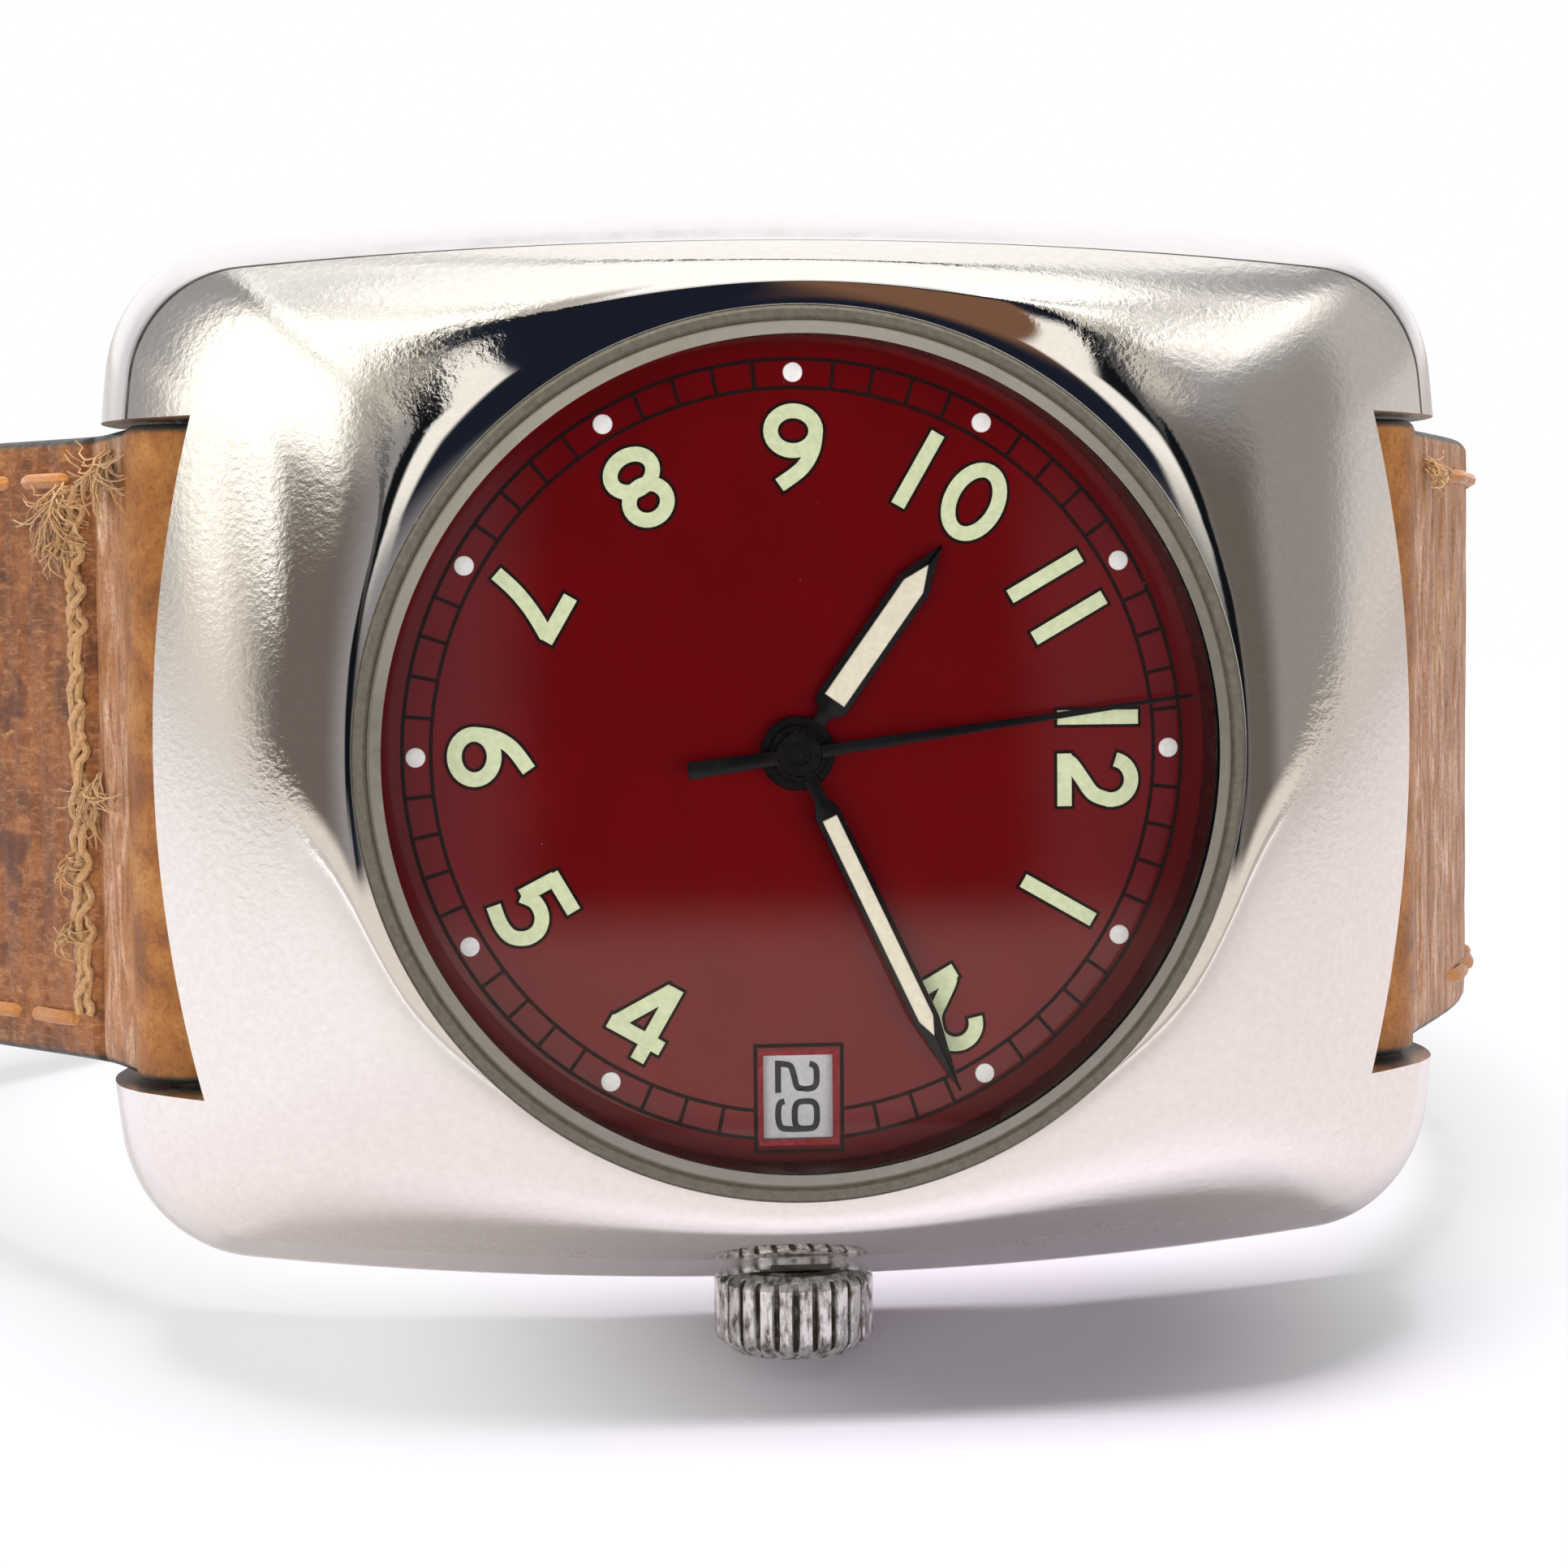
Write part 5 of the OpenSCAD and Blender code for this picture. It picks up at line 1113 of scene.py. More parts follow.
def build_hands(black, lume):
    hour = joined([hand_blade(sword(1.75, 1.1, HOUR_LENGTH, 1.5), 0.42, 0.6, 0.07, 0.97),
                   hub(1.13, 0.97, 0.42, 0.60), hub(1.13, 0.72, 0.605, 0.66)])
    minute = joined([hand_blade(sword(1.95, 0.8, MINUTE_LENGTH, 2.4), 0.82, 0.98, 0.06, 0.72),
                     hub(0.86, 0.71, 0.82, 1.02)])
    hour_fill = prism(blade(1.95, 0.36, HOUR_LENGTH, 1.55, 0.75), 0.53, 0.66, 0.05)
    minute_fill = prism(blade(2.15, 0.24, MINUTE_LENGTH, 2.5, 1.9), 0.91, 1.03, 0.05)
    make("hour_blade", turned(hour, SHOWN_HOUR), black, "hour", ["hour_hand"])
    make("minute_blade", turned(minute, SHOWN_MINUTE), black, "centre", ["minute_hand"])
    make("hour_fill", turned(hour_fill, SHOWN_HOUR), lume, "hour", ["hour_hand_lume"])
    make("minute_fill", turned(minute_fill, SHOWN_MINUTE), lume, "centre", ["minute_hand_lume"])
    needle = [(0.2, 0), (0.05, SECONDS_LENGTH), (-0.05, SECONDS_LENGTH), (-0.2, 0)]
    tail = [(0.27, -SECONDS_TAIL), (0.2, 0), (-0.2, 0), (-0.27, -SECONDS_TAIL)]
    second = joined([prism(needle, 1.27, 1.34, 0.03), prism(tail, 1.27, 1.341, 0.03),
                     hub(0.69, 0.31, 1.14, 1.39), hub(0.33, 0.012, 1.375, 1.53)])
    make("second_needle", turned(second, SHOWN_SECOND), black, "fourth", ["seconds_hand"])


# ---------- strap and buckle ----------

BUCKLE_AT = (-14.3, -42.4)
BAR_RADIUS = 0.75
FOLD_WALL = 1.1
TAIL_LEVEL = BUCKLE_AT[1] - BAR_RADIUS - FOLD_WALL - 0.5 - STRAP_THICK / 2
ROOT_EXTRA = 1.3
SHORT_ROUTE = [(BAR_REACH, -BAR_DEPTH), (21.2, -9), (24.4, -15), (26, -22), (25.3, -29.5), (21.5, -36),
               (14.5, -40.8), (7, -42.4), (-1, -42.4), (-9, -42.4), BUCKLE_AT]
LONG_ROUTE = [(-BAR_REACH, -BAR_DEPTH), (-21.3, -8.2), (-26, -13), (-29.8, -18.5), (-31.4, -24.5),
              (-30, -30.3), (-25.8, -34.1), (-21.7, -38.5), (-19.1, -42.7), (-16.8, -45.1),
              (-13.2, TAIL_LEVEL - 0.05), (-8, TAIL_LEVEL), (0, TAIL_LEVEL), (8, TAIL_LEVEL),
              (15.5, -44.2), (22, -40.4), (26.4, -35)]
ROOT_LENGTH = 14.0
EDGE_ROUND = 0.45
SEAM_AT = 3.55
CREASE_AT = 1.5
NOSE_SPREAD = 0.2
STITCH_INSET = 1.35
BUCKLE_TURN = 156.5
BUCKLE_REACH = 11.6
BUCKLE_WIRE = 1.2
BUCKLE_FLAT = 0.95
BOW_LIFT = 0.7
BOW_CORNER = 3
ARM_X = STRAP_WIDTH / 2 + 1.3
TONGUE_WIDTH = 1.7
KEEPER_WALL = 1.2
KEEPER_LENGTH = 5
KEEPER_GAP = 0.35
KEEPER_TOP = BUCKLE_AT[1] + STRAP_THICK / 2 + KEEPER_GAP
KEEPER_LOW = TAIL_LEVEL - STRAP_THICK / 2 - KEEPER_GAP
FIXED_KEEPER_AT = -8.6
FREE_KEEPER_AT = 1.6
TAIL_TAPER = 8
TAIL_NARROWING = 6.5
FINE_LENGTH = 12
FINE_STEP = 0.12
COARSE_STEP = 0.4
HOLE_PITCH = 6.5
HOLE_RADIUS = 1.1


def smooth(t):
    t = min(1, max(0, t))
    return t * t * (3 - 2 * t)


def ripple(x, s, seed):
    """Small folds across the strap; x across and s along, in millimetres."""
    value = 0.0
    for k in range(6):
        pitch = 0.7 + 0.5 * k
        sway = 0.45 * math.sin(x * (0.19 + 0.06 * k) + seed + k * 1.7)
        value += math.sin(2 * math.pi * (s + sway) / pitch + seed * 3 + k * 2.1) / (k + 2)
    return value


class Strap:
    """One half of the strap: a leather section with a fold round the spring bar."""

    def __init__(self, route, outer, taper, seam, seed):
        self.outer = outer
        self.taper = taper
        self.seam = seam
        self.seed = seed
        fine = spline(route, 64)
        self.stations = []
        run = 0.0
        target = 0.0
        for i, point in enumerate(fine):
            if i:
                run += math.dist(point, fine[i - 1])
            last = i == len(fine) - 1
            if run >= target or last:
                a = fine[max(i - 1, 0)]
                b = fine[min(i + 1, len(fine) - 1)]
                t = Vector((b[0] - a[0], b[1] - a[1])).normalized()
                self.stations.append((run, Vector(point), t))
                target = run + (FINE_STEP if run < FINE_LENGTH else COARSE_STEP)
        self.length = run

    def half(self, s):
        left = self.length - s
        if self.taper and left < TAIL_TAPER:
            return STRAP_WIDTH / 2 - TAIL_NARROWING * (1 - left / TAIL_TAPER) ** 2
        return STRAP_WIDTH / 2

    def thick(self, s):
        return STRAP_THICK + ROOT_EXTRA * max(0, 1 - s / ROOT_LENGTH)

    def relief(self, x, s):
        """Height of the outer face above the plain section."""
        ease = smooth((s - 1.2) / 0.8)
        height = 0.06 * ripple(x, s, self.seed) * ease
        height += 0.16 * math.exp(-((s - CREASE_AT) / 0.22) ** 2) * ease
        if self.seam:
            height += 0.16 * smooth((s - self.seam) / 0.2)
            height -= 0.34 * math.exp(-((s - self.seam + 0.12) / 0.16) ** 2)
        return height

    def at(self, s):
        for run, point, t in self.stations:
            if run >= s:
                return point, t
        return self.stations[-1][1:]

    def on_face(self, x, s, lift=0.0):
        """A point over the outer face, in the watch's millimetres."""
        point, t = self.at(s)
        n = Vector((-t.y, t.x)) * self.outer
        q = point + n * (self.thick(s) / 2 - 0.1 + self.relief(x, s) + lift)
        return (x, q.x, q.y)

    def section(self):
        """The closed outline seen from the side: (base, normal, reach, s, face)."""
        spots = []
        start = 1.35
        for s, point, t in reversed(self.stations):
            if s > start:
                spots.append((point, Vector((-t.y, t.x)) * self.outer, self.thick(s) / 2 - 0.1, s, 1))
        bar, t0 = self.stations[0][1:]
        side = Vector((-t0.y, t0.x)) * self.outer
        steps = 26
        for i in range(steps + 1):
            a = math.radians(mix(-12, 192, i / steps))
            n = side * math.cos(a) - t0 * math.sin(a)
            spots.append((bar, n, FOLD_RADIUS - 0.02, -a * FOLD_RADIUS, 0))
        for s, point, t in self.stations:
            if s > start:
                spots.append((point, Vector((t.y, -t.x)) * self.outer, self.thick(s) / 2 - 0.1, s, -1))
        return spots

    def build(self, name):
        across = [-1, -0.995, -0.985, -0.97]
        across += [k / 12 for k in range(-11, 12)] + [0.97, 0.985, 0.995, 1]
        spots = self.section()
        rings, along, edge, flap = [], [], [], []
        for u in across:
            ring = []
            for base, n, reach, s, face in spots:
                half = (self.half(s) if face else STRAP_WIDTH / 2) + NOSE_SPREAD * smooth((3.5 - s) / 3)
                rim = max(0, (abs(u) * half - (half - EDGE_ROUND)) / EDGE_ROUND)
                rim = min(1, rim)
                out = reach - EDGE_ROUND * 0.8 * (1 - math.sqrt(max(0, 1 - rim * rim * 0.97)))
                if face > 0:
                    out += self.relief(u * half, s) * (1 - rim * rim)
                q = base + n * out
                ring.append((u * half, q.x, q.y))
                along.append(s)
                edge.append(smooth((rim - 0.25) / 0.3))
                flap.append(1.0 if self.seam and face > 0 and s > self.seam else 0.0)
            rings.append(ring)
        count = len(spots)
        points, faces = loft(rings)
        side = sum(1 for spot in spots if spot[4] > 0)
        for base in (0, (len(rings) - 1) * count):
            for i in range(side - 1):
                j = count - 1 - i
                faces.append((base + i, base + i + 1, base + j - 1, base + j))
            faces.append(tuple(base + i for i in range(side - 1, count - side + 1)))
        piece = mesh_object(name, (points, faces))
        mark(piece, along=along, edge=edge, flap=flap)
        return piece


def through(strap, s, outline):
    """A cutter square to the strap, from an outline of (across, along) points."""
    point, t = strap.at(s)
    n = Vector((-t.y, t.x))
    rings = []
    for reach in (-3, 3):
        ring = []
        for x, y in outline:
            q = point + t * y + n * reach
            ring.append((x, q.x, q.y))
        rings.append(ring)
    return loft(rings, caps=True)


def holes_through(strap, first, count):
    """Cutters for the round holes along the tail."""
    circle = [polar(HOLE_RADIUS, 360 * i / 28) for i in range(28)]
    return [through(strap, first + k * HOLE_PITCH, circle) for k in range(1, count)]


def slot_through(strap, s, wide, long):
    return through(strap, s, [(-wide / 2, -long / 2), (wide / 2, -long / 2), (wide / 2, long / 2),
                              (-wide / 2, long / 2)])


def stitch(strap, x0, s0, x1, s1, thick=0.2, lift=0.1):
    """One stitch of twisted thread that dips in at both ends."""
    path = []
    steps = 8
    for i in range(steps + 1):
        t = i / steps
        arch = math.sin(math.pi * t) ** 0.5 if 0 < t < 1 else 0
        path.append(strap.on_face(mix(x0, x1, t), mix(s0, s1, t), lift * arch - thick * 0.9 * (1 - arch)))
    return tube(path, thick, 8)


STITCH_PITCH = 3.3
STITCH_LENGTH = 2.5


def edge_stitches(strap, start, end):
    shapes = []
    s = start
    while s + STITCH_LENGTH < end:
        for side in (-1, 1):
            x = side * (STRAP_WIDTH / 2 - STITCH_INSET)
            shapes.append(stitch(strap, x, s, x, s + STITCH_LENGTH, 0.24, 0.12))
        s += STITCH_PITCH
    return joined(shapes)


def seam_thread(strap, dice):
    """Waxed strands that zigzag along the seam."""
    shapes = []
    reach = STRAP_WIDTH / 2 - STITCH_INSET - 0.2
    for strand in range(3):
        path = []
        steps = 110
        for i in range(steps + 1):
            x = mix(-reach, reach, i / steps)
            phase = x * 1.9 + strand * 2.1
            s = strap.seam + 0.42 + 0.24 * math.sin(phase) + 0.1 * math.sin(phase * 2.7)
            lift = 0.07 + 0.1 * math.cos(phase) + 0.03 * strand
            path.append(strap.on_face(x, s, lift))
        shapes.append(tube(path, 0.12 + 0.02 * dice.random(), 7))
    return joined(shapes)


def tuft(strap, x, s, spread, length, count, dice):
    """Frayed fibres that stand up from a knot and curl."""
    shapes = []
    for _ in range(count):
        turn = dice.uniform(-spread, spread)
        reach = length * dice.uniform(0.45, 1.0)
        curl = dice.uniform(-1.2, 1.2)
        rise = dice.uniform(0.15, 0.75)
        dx, ds = dice.uniform(-0.25, 0.25), dice.uniform(-0.2, 0.2)
        path = []
        for i in range(9):
            t = i / 8
            a = turn + curl * t
            path.append(strap.on_face(x + dx + reach * t * math.cos(a), s + ds + reach * t * math.sin(a),
                                      0.1 + rise * math.sin(math.pi * min(1, t * 0.8))))
        thick = dice.uniform(0.022, 0.05)
        shapes.append(tube(path, [thick * (1 - 0.5 * i / 8) for i in range(9)], 5))
    return joined(shapes)


TONGUE_HOLE_AT = 45.08
HOLE_COUNT = 7
SLOT_LENGTH = 7
TUFTS = [
    # across, along, length and number of fibres
    (-9.3, 2.0, 2.3, 60),
    (-8.4, 4.6, 2.6, 60),
    (-6.9, 4.4, 1.6, 30),
    (0.9, 3.0, 2.2, 34),
    (3.4, 4.3, 1.2, 22),
    (5.6, 4.4, 1.2, 22),
]


def build_straps(leather, tan_thread, orange_thread):
    short = Strap(SHORT_ROUTE, 1, False, 0, 1.3)
    long = Strap(LONG_ROUTE, -1, True, SEAM_AT, 4.1)
    bore = FOLD_RADIUS - 1.2
    piece = short.build("strap_short")
    bar_y, bar_z = SHORT_ROUTE[0]
    half = STRAP_WIDTH / 2 + 1
    wide = TONGUE_WIDTH + 0.7
    eye = BAR_RADIUS + 0.12
    cut(piece, [along_x(bore, -half, half, bar_y, bar_z, 40),
                along_x(eye, -half, half, BUCKLE_AT[0], BUCKLE_AT[1], 40),
                block(-wide / 2, wide / 2, BUCKLE_AT[0] - 3.2, BUCKLE_AT[0] + 3.2, BUCKLE_AT[1] - 4,
                      BUCKLE_AT[1] + 4)])
    dress(piece, leather, "case", ["strap_buckle_side"], 50)
    piece = long.build("strap_long")
    cut(piece, [along_x(bore, -half, half, -BAR_REACH, -BAR_DEPTH, 40),
                slot_through(long, TONGUE_HOLE_AT, wide, SLOT_LENGTH)]
        + holes_through(long, TONGUE_HOLE_AT, HOLE_COUNT))
    dress(piece, leather, "case", ["strap_hole_side"], 50)
    dice = random.Random(11)
    make("seam_strands", seam_thread(long, dice), tan_thread, "case")
    make("long_stitches", edge_stitches(long, SEAM_AT + 0.9, long.length - 9), orange_thread, "case")
    make("short_stitches", edge_stitches(short, 7.5, short.length - 6), orange_thread, "case")
    tufts = [tuft(long, x, s, 0.8, size, count, dice) for x, s, size, count in TUFTS]
    tufts.append(tuft(short, -8.9, 3.2, 1.5, 1.3, 26, dice))
    make("thread_tufts", joined(tufts), tan_thread, "case")


def in_buckle(p):
    """From the buckle's own axes, bow towards +y, to the watch's."""
    turn = math.radians(BUCKLE_TURN - 180)
    x, y, z = p[0], -p[1], p[2]
    c, s = math.cos(turn), math.sin(turn)
    return (x, BUCKLE_AT[0] + y * c - z * s, BUCKLE_AT[1] + y * s + z * c)


def buckle_half(side):
    path = [(side * ARM_X, -1.1), (side * ARM_X, 0), (side * ARM_X, (BUCKLE_REACH - BOW_CORNER) / 2)]
    for i in range(13):
        a, b = polar(BOW_CORNER, 7.5 * i)
        path.append((side * (ARM_X - BOW_CORNER + a), BUCKLE_REACH - BOW_CORNER + b))
    return path


def build_buckle(steel):
    path = buckle_half(1) + buckle_half(-1)[::-1]
    rings = []
    sides = 28
    for i, (x, y) in enumerate(path):
        before = Vector(path[max(i - 1, 0)])
        after = Vector(path[min(i + 1, len(path) - 1)])
        t = (after - before).normalized()
        ring = []
        for k in range(sides):
            a, b = polar(1, 360 * k / sides)
            ring.append((x + BUCKLE_WIRE * a * t.y, y - BUCKLE_WIRE * a * t.x,
                         BUCKLE_FLAT * b - BOW_LIFT * max(y, 0) / BUCKLE_REACH))
        rings.append(ring)
    frame_piece = mesh_object("buckle_bow", loft(rings, caps=True))
    cut(frame_piece, [along_x(BAR_RADIUS - 0.14, -20, 20, 0, 0, 32)])
    frame_piece.data = moved_mesh(frame_piece.data, in_buckle)
    dress(frame_piece, [steel, steel], "case", ["buckle_frame"], 40)
    inner = ARM_X - BUCKLE_WIRE - 0.01
    outer = ARM_X + BUCKLE_WIRE / 2
    bar = joined([along_x(BAR_RADIUS, -inner, inner, 0, 0, 40),
                  along_x(BAR_RADIUS - 0.15, -outer, outer, 0, 0, 40)])
    make("buckle_pin", moved(bar, in_buckle), steel, "case", ["buckle_bar"], 40)
    rest = -BOW_LIFT - BUCKLE_FLAT - 0.05
    tip = BUCKLE_REACH + 0.9
    near = BUCKLE_REACH - BUCKLE_WIRE - 0.6
    side = [(0, -BAR_RADIUS - 0.6), (near, rest - 0.9), (tip, rest - 0.65), (tip + 0.3, rest - 0.3),
            (tip, rest), (near, rest), (1.2, -0.1)]
    half = TONGUE_WIDTH / 2
    edge = 0.22
    centre = (sum(y for y, _ in side) / len(side), sum(z for _, z in side) / len(side))
    rings = []
    for x, shrink in ((-half, 0.9), (-half + edge, 1), (half - edge, 1), (half, 0.9)):
        rings.append([(x, centre[0] + (y - centre[0]) * mix(1, shrink, 0.35),
                       centre[1] + (z - centre[1]) * shrink) for y, z in side])
    tongue = mesh_object("buckle_prong", joined([loft(rings, caps=True)]))
    loop = mesh_object("prong_loop", along_x(BAR_RADIUS + 0.65, -half, half, 0, 0, 48))
    for piece in (tongue, loop):
        cut(piece, [along_x(BAR_RADIUS + 0.03, -5, 5, 0, 0, 48)])
        piece.data = moved_mesh(piece.data, in_buckle)
        dress(piece, [steel, steel], "tongue", ["buckle_tongue"], 30)


def moved_mesh(mesh, change):
    for vertex in mesh.vertices:
        vertex.co = change(tuple(vertex.co))
    return mesh


def keeper_loop(y, leather, name, body, node):
    """A leather loop with rounded corners round both runs of the strap."""
    half_x = STRAP_WIDTH / 2 + KEEPER_GAP
    middle = (KEEPER_TOP + KEEPER_LOW) / 2
    half_z = (KEEPER_TOP - KEEPER_LOW) / 2
    rings, edge = [], []
    profile = [(0.0, -0.5), (0.0, 0.5), (0.12, 0.5), (0.55, 0.485), (0.9, 0.44), (1.0, 0.36), (1.0, 0.0),
               (1.0, -0.36), (0.9, -0.44), (0.55, -0.485), (0.12, -0.5)]
    corner = 0.5
    for out, long in profile:
        ring = []
        grow = KEEPER_WALL * out
        for quarter, (sx, sz) in enumerate(((1, 1), (-1, 1), (-1, -1), (1, -1))):
            for i in range(9):
                a, b = polar(corner + grow, 90 * quarter + 90 * i / 8)
                wave = 0.03 * math.sin(11 * a + 7 * b + y)
                ring.append((sx * (half_x - corner) + a, y + KEEPER_LENGTH * long + wave,
                             middle + sz * (half_z - corner) + b))
                edge.append(smooth((abs(long) - 0.42) / 0.05) * (1 if out > 0.05 else 0.4))
        rings.append(ring)
    piece = mesh_object(name, loft(rings + rings[:1]))
    edge += edge[:len(rings[0])]
    mark(piece, edge=edge, along=[9.0] * len(edge), flap=[1.0] * len(edge))
    dress(piece, leather, body, [node], 40)


NOTCH_REACH = 12.9
BACK_RADIUS = 14.8
THREAD_TOP = -4.82
BACK_INSIDE = -5.02


def build_back(steel, brushed):
    """Screwed case back with six key notches and a turned step."""
    z = -CASE_DEPTH
    profile = [(0.02, -BACK_LEVEL + 0.1), (9.4, -BACK_LEVEL + 0.1), (9.6, -BACK_LEVEL), (14.5, -BACK_LEVEL),
               (14.72, -BACK_LEVEL + 0.08), (BACK_RADIUS, -BACK_LEVEL + 0.3), (BACK_RADIUS, z - 0.01),
               (14.05, z - 0.01), (14.05, THREAD_TOP), (13.35, THREAD_TOP), (13.35, BACK_INSIDE),
               (0.02, BACK_INSIDE)]
    piece = mesh_object("back_cover", revolved(profile, 160))
    cutters = []
    corners = ((-0.6, -1.1), (0.6, -1.1), (0.6, 1.1), (-0.6, 1.1))
    for i in range(6):
        a = math.radians(60 * i)
        u = Vector((math.cos(a), math.sin(a)))
        v = Vector((-u.y, u.x))
        box = [tuple(u * (NOTCH_REACH + dx) + v * dy) for dx, dy in corners]
        cutters.append(prism(box, -BACK_LEVEL - 1, -BACK_LEVEL + 0.4))
    cut(piece, cutters)
    dress(piece, [brushed, steel], "case", ["case_back"], 30)


# ---------- stage ----------

def build_camera():
    """Camera where the photograph was taken, found from the dial's outline in it."""
    distance = 95
    yaw, pitch, roll = (math.radians(a) for a in (5.2, 3.5, 0.53))
    shift = Vector((0.36, 0.96, 0))
    pixels_per_mm = 40.5
    picture = 1932
    sensor = 36
    turn = Matrix.Rotation(roll, 3, "Z") @ Matrix.Rotation(pitch, 3, "X") @ Matrix.Rotation(yaw, 3, "Y")
    back = turn.inverted()
    picture_axes = Matrix((TWELVE, -THREE, OUT)).transposed()
    spot = back @ (Vector((0, 0, distance)) - shift)
    view = (picture_axes @ back).to_4x4()
    view.translation = ORIGIN + picture_axes @ spot * MM
    data = bpy.data.cameras.new("camera")
    data.sensor_width = sensor
    data.sensor_fit = "HORIZONTAL"
    data.lens = sensor * pixels_per_mm * distance / picture
    data.clip_start = 0.005
    data.clip_end = 50
    camera = place("camera", data)
    camera.matrix_world = view
    bpy.context.scene.camera = camera


def area_light(name, spot, aim, size, power, colour=(1, 1, 1)):
    data = bpy.data.lights.new(name, "AREA")
    data.shape = "RECTANGLE"
    data.size, data.size_y = size
    data.energy = power
    data.color = colour
    lamp = place(name, data)
    lamp.location = spot
    lamp.rotation_euler = (Vector(aim) - Vector(spot)).to_track_quat("-Z", "Y").to_euler()
    lamp.visible_camera = False
    lamp.visible_glossy = False


# In metres: the shadow's middle, where the table's painted glow is weakest, and where the table turns
# wholly white
SHADOW_CORE = (0.009, -0.021, 0)
SHADOW_NEAR = 0.004
SHADOW_FAR = 0.021
WHITE_FROM = 0.04
WHITE_TO = 0.12


def build_floor():
    """White table that keeps the shadow. Its glow is painted light: seen by the camera and by metal and
    glass, it grows with distance from the shadow's middle, and metal and glass see it in the room's table
    colour, painted paler to the left.
    """
    size = 4.0
    mesh = bpy.data.meshes.new("floor")
    corners = [(-size, -size, 0), (size, -size, 0), (size, size, 0), (-size, size, 0)]
    mesh.from_pydata(corners, [], [(0, 1, 2, 3)])
    floor = place("floor", mesh)
    material = bpy.data.materials.new("floor_white")
    material.use_nodes = True
    graph = Graph(material.node_tree)
    graph.tree.nodes.clear()
    # The table's own colour is a dim lavender, a painted shade colour so that its shadow comes out
    # lavender; the glow brings lit parts to white.
    matt = graph.add("ShaderNodeBsdfDiffuse", Color=(0.52, 0.49, 0.55, 1))
    glow = graph.add("ShaderNodeEmission")
    rays = graph.add("ShaderNodeLightPath")
    spot = graph.add("ShaderNodeNewGeometry").outputs["Position"]
    away = graph.add("ShaderNodeVectorMath", {"operation": "LENGTH"}, Vector=spot).outputs["Value"]
    core = graph.add("ShaderNodeVectorMath", {"operation": "DISTANCE"}, Vector=spot)
    core.inputs[1].default_value = SHADOW_CORE
    # Painted light: the camera sees a glow that grows with distance from the shadow's middle, so the shadow
    # fades out away from it.
    near = graph.band(core.outputs["Value"], SHADOW_NEAR, SHADOW_FAR, 0.02, 0.72)
    share = graph.math("MAXIMUM", graph.band(away, WHITE_FROM, WHITE_TO), near)
    seen = graph.times(rays.outputs["Is Camera Ray"], share)
    # Painted shade in reflections: metal and glass see less glow near the shadow's middle.
    lit = graph.band(core.outputs["Value"], SHADOW_NEAR, 0.028, 0.06, 0.6)
    gloss = graph.times(rays.outputs["Is Glossy Ray"], lit)
    side = graph.add("ShaderNodeSeparateXYZ", Vector=spot).outputs["X"]
    # Painted light in reflections: the table is paler and whiter towards the left.
    paler_left_glow = graph.blend(graph.band(side, -0.06, 0.0), (1.0, 0.97, 0.92, 1), TABLE + (1,))
    graph.set(glow.inputs["Color"], graph.blend(rays.outputs["Is Glossy Ray"], (1, 1, 1, 1), paler_left_glow))
    both = graph.layered(graph.math("ADD", seen, gloss, clamp=True), matt, glow)
    out = graph.add("ShaderNodeOutputMaterial")
    graph.tree.links.new(both.outputs[0], out.inputs["Surface"])
    mesh.materials.append(material)


# What metal and glass reflect: directions in degrees, azimuth from the front to the right
WALL = (0.33, 0.32, 0.33)
TABLE = (0.8, 0.73, 0.67)
DARK = (0.006, 0.007, 0.009)
NAVY = (0.010, 0.014, 0.026)
BROWN = (0.20, 0.10, 0.06)
CREAM = (0.66, 0.62, 0.54)
PALE = (1.0, 0.97, 0.9)
ROOM = [
    # azimuth from, to and softness, elevation from, to and softness, colour
    (-400, 400, 10, 60, 140, 4, (1.2, 1.19, 1.17)),
    (-92, -62, 8, -10, 16, 4, (0.7, 0.65, 0.57)),
    (-66, -20, 12, -10, 22, 5, (0.16, 0.135, 0.12)),
    (20, 50, 6, -10, 24, 8, (0.14, 0.12, 0.105)),
    (46, 84, 9, -10, 34, 8, (0.30, 0.28, 0.26)),
    (84, 130, 6, -10, 12, 6, (0.66, 0.62, 0.6)),
    (84, 108, 4, 10, 46, 6, (0.5, 0.48, 0.46)),
    (-400, -122, 6, -10, 66, 4, (1.1, 1.08, 1.08)),
    (130, 400, 6, -10, 66, 4, (1.1, 1.08, 1.08)),
    (-87, -56, 4, 11, 70, 2.5, (1.5, 1.47, 1.36)),
    (-90, -76, 4, 6, 16, 3, (1.4, 1.37, 1.28)),
    (-60, -30, 3, 20, 70, 5, (1.5, 1.47, 1.36)),
    (-34, -20, 4, 22, 70, 6, (0.5, 0.47, 0.42)),
    (38, 104, 4, 42, 70, 7, (1.35, 1.33, 1.28)),
]
# The table's far edge and the photographer in front, in the same degrees
HORIZON = 1.5
FRONT_TURN = 4.5
BODY_TOP = 57
BODY_HALF = 17
SHOULDER = 23
SHOULDER_SLOPE = 0.7


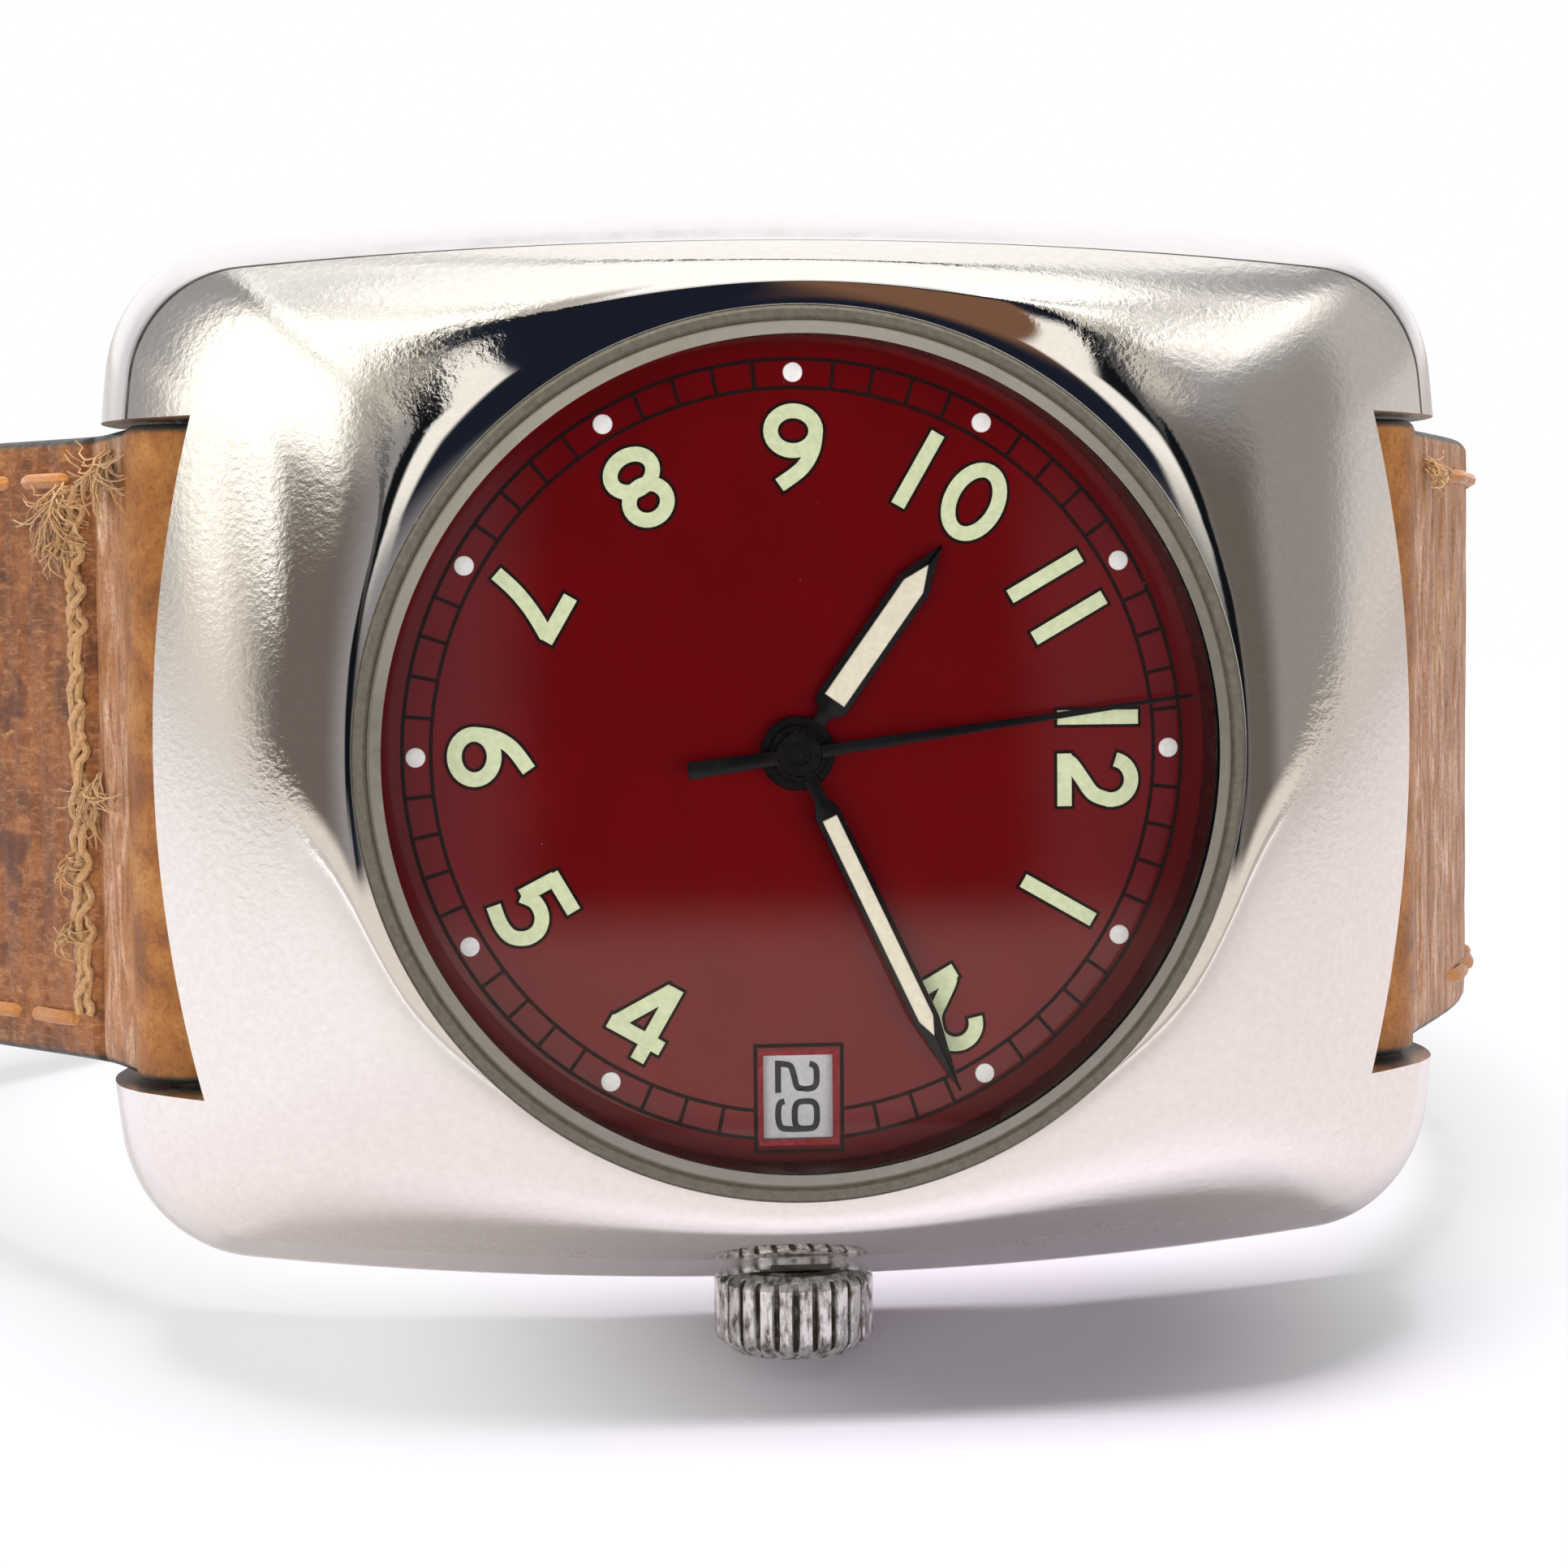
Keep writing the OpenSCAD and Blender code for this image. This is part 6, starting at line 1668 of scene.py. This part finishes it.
def room_light(graph, azimuth, elevation):
    """A room with a window on each side, a pale table and a dark photographer in front."""
    def between(value, low, high, soft):
        return graph.times(graph.band(value, low - soft, low + soft),
                           graph.band(value, high + soft, high - soft))

    def paint_over(room, colour, *masks):
        whole = masks[0]
        for mask in masks[1:]:
            whole = graph.times(whole, mask)
        return graph.blend(whole, room, colour + (1,))
    room = WALL + (1,)
    for az0, az1, az_soft, el0, el1, el_soft, light in ROOM:
        room = paint_over(room, light, between(azimuth, az0, az1, az_soft),
                          between(elevation, el0, el1, el_soft))
    aside = graph.math("SUBTRACT", azimuth, FRONT_TURN)
    away = graph.math("ABSOLUTE", aside)
    higher = graph.math("MAXIMUM", graph.math("SUBTRACT", elevation, SHOULDER), 0)
    reach = graph.math("MULTIPLY_ADD", higher, SHOULDER_SLOPE)
    graph.set(reach.node.inputs[2], BODY_HALF)
    edge = graph.math("SUBTRACT", away, reach)
    under_top = graph.band(elevation, BODY_TOP + 1, BODY_TOP - 1)
    room = paint_over(room, CREAM, between(edge, 2, 5.5, 0.8), graph.band(elevation, 22, 32), under_top)
    room = paint_over(room, NAVY, graph.band(edge, 0.5, -0.5), under_top)
    room = paint_over(room, BROWN, graph.band(edge, -4, -6), graph.band(azimuth, 3, 12),
                      graph.band(elevation, 16, 24), under_top)
    room = paint_over(room, PALE, between(edge, -6, -1.8, 0.6), between(elevation, 12, 46, 4))
    room = paint_over(room, DARK, between(edge, -1.4, 1.4, 0.5), between(elevation, 4, BODY_TOP, 1.5))
    room = paint_over(room, DARK, between(elevation, BODY_TOP - 0.8, BODY_TOP + 1.2, 0.5),
                      graph.band(edge, 1, -1))
    room = paint_over(room, (0.28, 0.27, 0.29), graph.band(azimuth, 1.2, -0.6), graph.band(away, 16, 12),
                      graph.band(elevation, 14, 11))
    room = paint_over(room, (0.2, 0.18, 0.2), graph.band(azimuth, 9.2, 10.6), graph.band(away, 14, 11),
                      graph.band(elevation, 13, 10))
    for side, bow in ((-1, 34), (1, 20)):
        drop = graph.math("EXPONENT", graph.math("DIVIDE", graph.math("SUBTRACT", 9, away), bow))
        cord = graph.times(graph.math("SUBTRACT", 1, drop), 61)
        gap = graph.math("ABSOLUTE", graph.math("SUBTRACT", elevation, cord))
        room = paint_over(room, (0.1, 0.1, 0.1), graph.band(gap, 1.3, 0.6), graph.band(away, 15, 18),
                          graph.band(graph.times(aside, side), 0, 1))
    room = paint_over(room, (0.16, 0.16, 0.16), between(elevation, 66.5, 68, 0.5),
                      between(azimuth, -140, -38, 3))
    room = paint_over(room, (0.2, 0.2, 0.2), between(elevation, 60, 61.2, 0.5),
                      between(azimuth, 52, 135, 3))
    table_edge = graph.band(away, 20, 9, HORIZON, HORIZON + 1.9)
    over = graph.math("SUBTRACT", elevation, table_edge)
    return paint_over(room, TABLE, graph.band(over, 0.7, -0.7))


AMBIENT = 0.16


def build_world():
    """White for the camera, the room for metal and glass, even light for the rest."""
    world = bpy.data.worlds.new("studio")
    bpy.context.scene.world = world
    world.use_nodes = True
    graph = Graph(world.node_tree)
    graph.tree.nodes.clear()
    rays = graph.add("ShaderNodeLightPath")
    place = graph.add("ShaderNodeTexCoord")
    split = graph.add("ShaderNodeSeparateXYZ", Vector=place.outputs["Generated"])
    ahead = graph.times(split.outputs["Y"], -1.0)
    azimuth = graph.math("DEGREES", graph.math("ARCTAN2", split.outputs["X"], ahead))
    elevation = graph.math("DEGREES", graph.math("ARCSINE", split.outputs["Z"]))
    room = room_light(graph, azimuth, elevation)
    room = graph.blend(rays.outputs["Is Glossy Ray"], (AMBIENT, AMBIENT, AMBIENT * 1.04, 1), room)
    room = graph.blend(rays.outputs["Is Camera Ray"], room, (1, 1, 1, 1))
    back = graph.add("ShaderNodeBackground", Color=room, Strength=1.0)
    out = graph.add("ShaderNodeOutputWorld")
    graph.tree.links.new(back.outputs[0], out.inputs["Surface"])


def build_stage():
    build_camera()
    build_floor()
    build_world()
    aim = ORIGIN
    area_light("overhead", (-0.02, 0.05, 0.5), aim, (0.22, 0.11), 5.2)
    area_light("window_left", (-0.6, -1.1, 0.2), aim, (1.0, 0.3), 11.5, (1, 0.98, 0.95))
    area_light("window_right", (0.6, -1.1, 0.2), aim, (1.0, 0.3), 9.5)
    bpy.context.scene.view_settings.view_transform = "Standard"


# ---------- assembly ----------

def dress_frame_nodes(looks):
    """Better materials for the CAD nodes that stay: the movement, stem, tube and seals."""
    for node in frame["nodes"].values():
        for place in node.material_slots:
            slot = place.material.name.split(".")[0] if place.material else ""
            if slot in looks:
                place.material = looks[slot]


def main():
    build_stage()
    satin = satin_steel()
    polish = polished_steel()
    # Dark steel: painted shade in the case's bore, crown well and ridge line.
    shade_steel = rehaut_steel()
    black = hand_paint()
    lume = paint("lume_cream", (180, 188, 150), (198, 205, 170), 0.6, 5.0, 0.2)
    cream = paint("lume_hand", (196, 188, 166), (210, 203, 184), 0.6, 5.0, 0.2)
    white = paint("print_white", (214, 212, 208), (228, 226, 222), 0.5, 6.0)
    # The white date disc painted grey: painted shade, as it sits in shade under the dial.
    days = paint("days_painted_shade_grey", (164, 164, 166), (178, 178, 180), 0.5, 6.0)
    dark = paint("print_dark", (24, 12, 12), (38, 20, 18), 0.5, 6.0)
    ink = paint("date_ink", (40, 40, 44), (60, 60, 64), 0.5, 8.0)
    # The dial's cut edges are paler and pinker than the lacquer: partly the edge's own colour, partly a
    # painted highlight on the lit window bevel.
    dial_edge_and_highlight = paint("dial_edge_and_highlight", (116, 28, 34), (150, 58, 62), 0.4, 6.0)
    rubber = gasket_rubber()
    works = works_metal("works_steel_fine", (150, 150, 152), (196, 196, 198), 0.18)
    build_case(satin, polished_steel("steel_flank", 0.2, 0.28), shade_steel)
    build_crystal(crystal_glass(), crystal_edge())
    build_gasket(rubber)
    build_crown(crown_steel())
    build_dial(dial_lacquer(), dark, lume, white, dial_edge_and_highlight)
    build_date_ring(days, ink)
    build_hands(black, cream)
    leather = strap_leather()
    build_straps(leather, waxed_thread("thread_tan", (150, 112, 70), (196, 156, 108)),
                 waxed_thread("thread_orange", (138, 84, 34), (182, 124, 62)))
    build_buckle(polished_steel("steel_buckle", 0.12, 0.22))
    keeper_loop(FIXED_KEEPER_AT, leather, "keeper_sewn", "case", "fixed_keeper")
    keeper_loop(FREE_KEEPER_AT, leather, "keeper_loose", "keeper", "free_keeper")
    build_back(polish, works_metal("steel_back", (186, 184, 180), (222, 220, 216), 0.2))
    dress_frame_nodes({
        "case_steel": polish,
        "gasket": rubber,
        "works_steel": works,
        "plated_brass": works_metal("plated_fine", (176, 174, 168), (214, 212, 206), 0.22, 0.45),
        "gilt_brass": works_metal("gilt_fine", (196, 152, 66), (232, 192, 104), 0.2),
        "blued_steel": works_metal("blued_fine", (24, 40, 110), (46, 74, 168), 0.18),
        "jewel": ruby(),
    })


main()
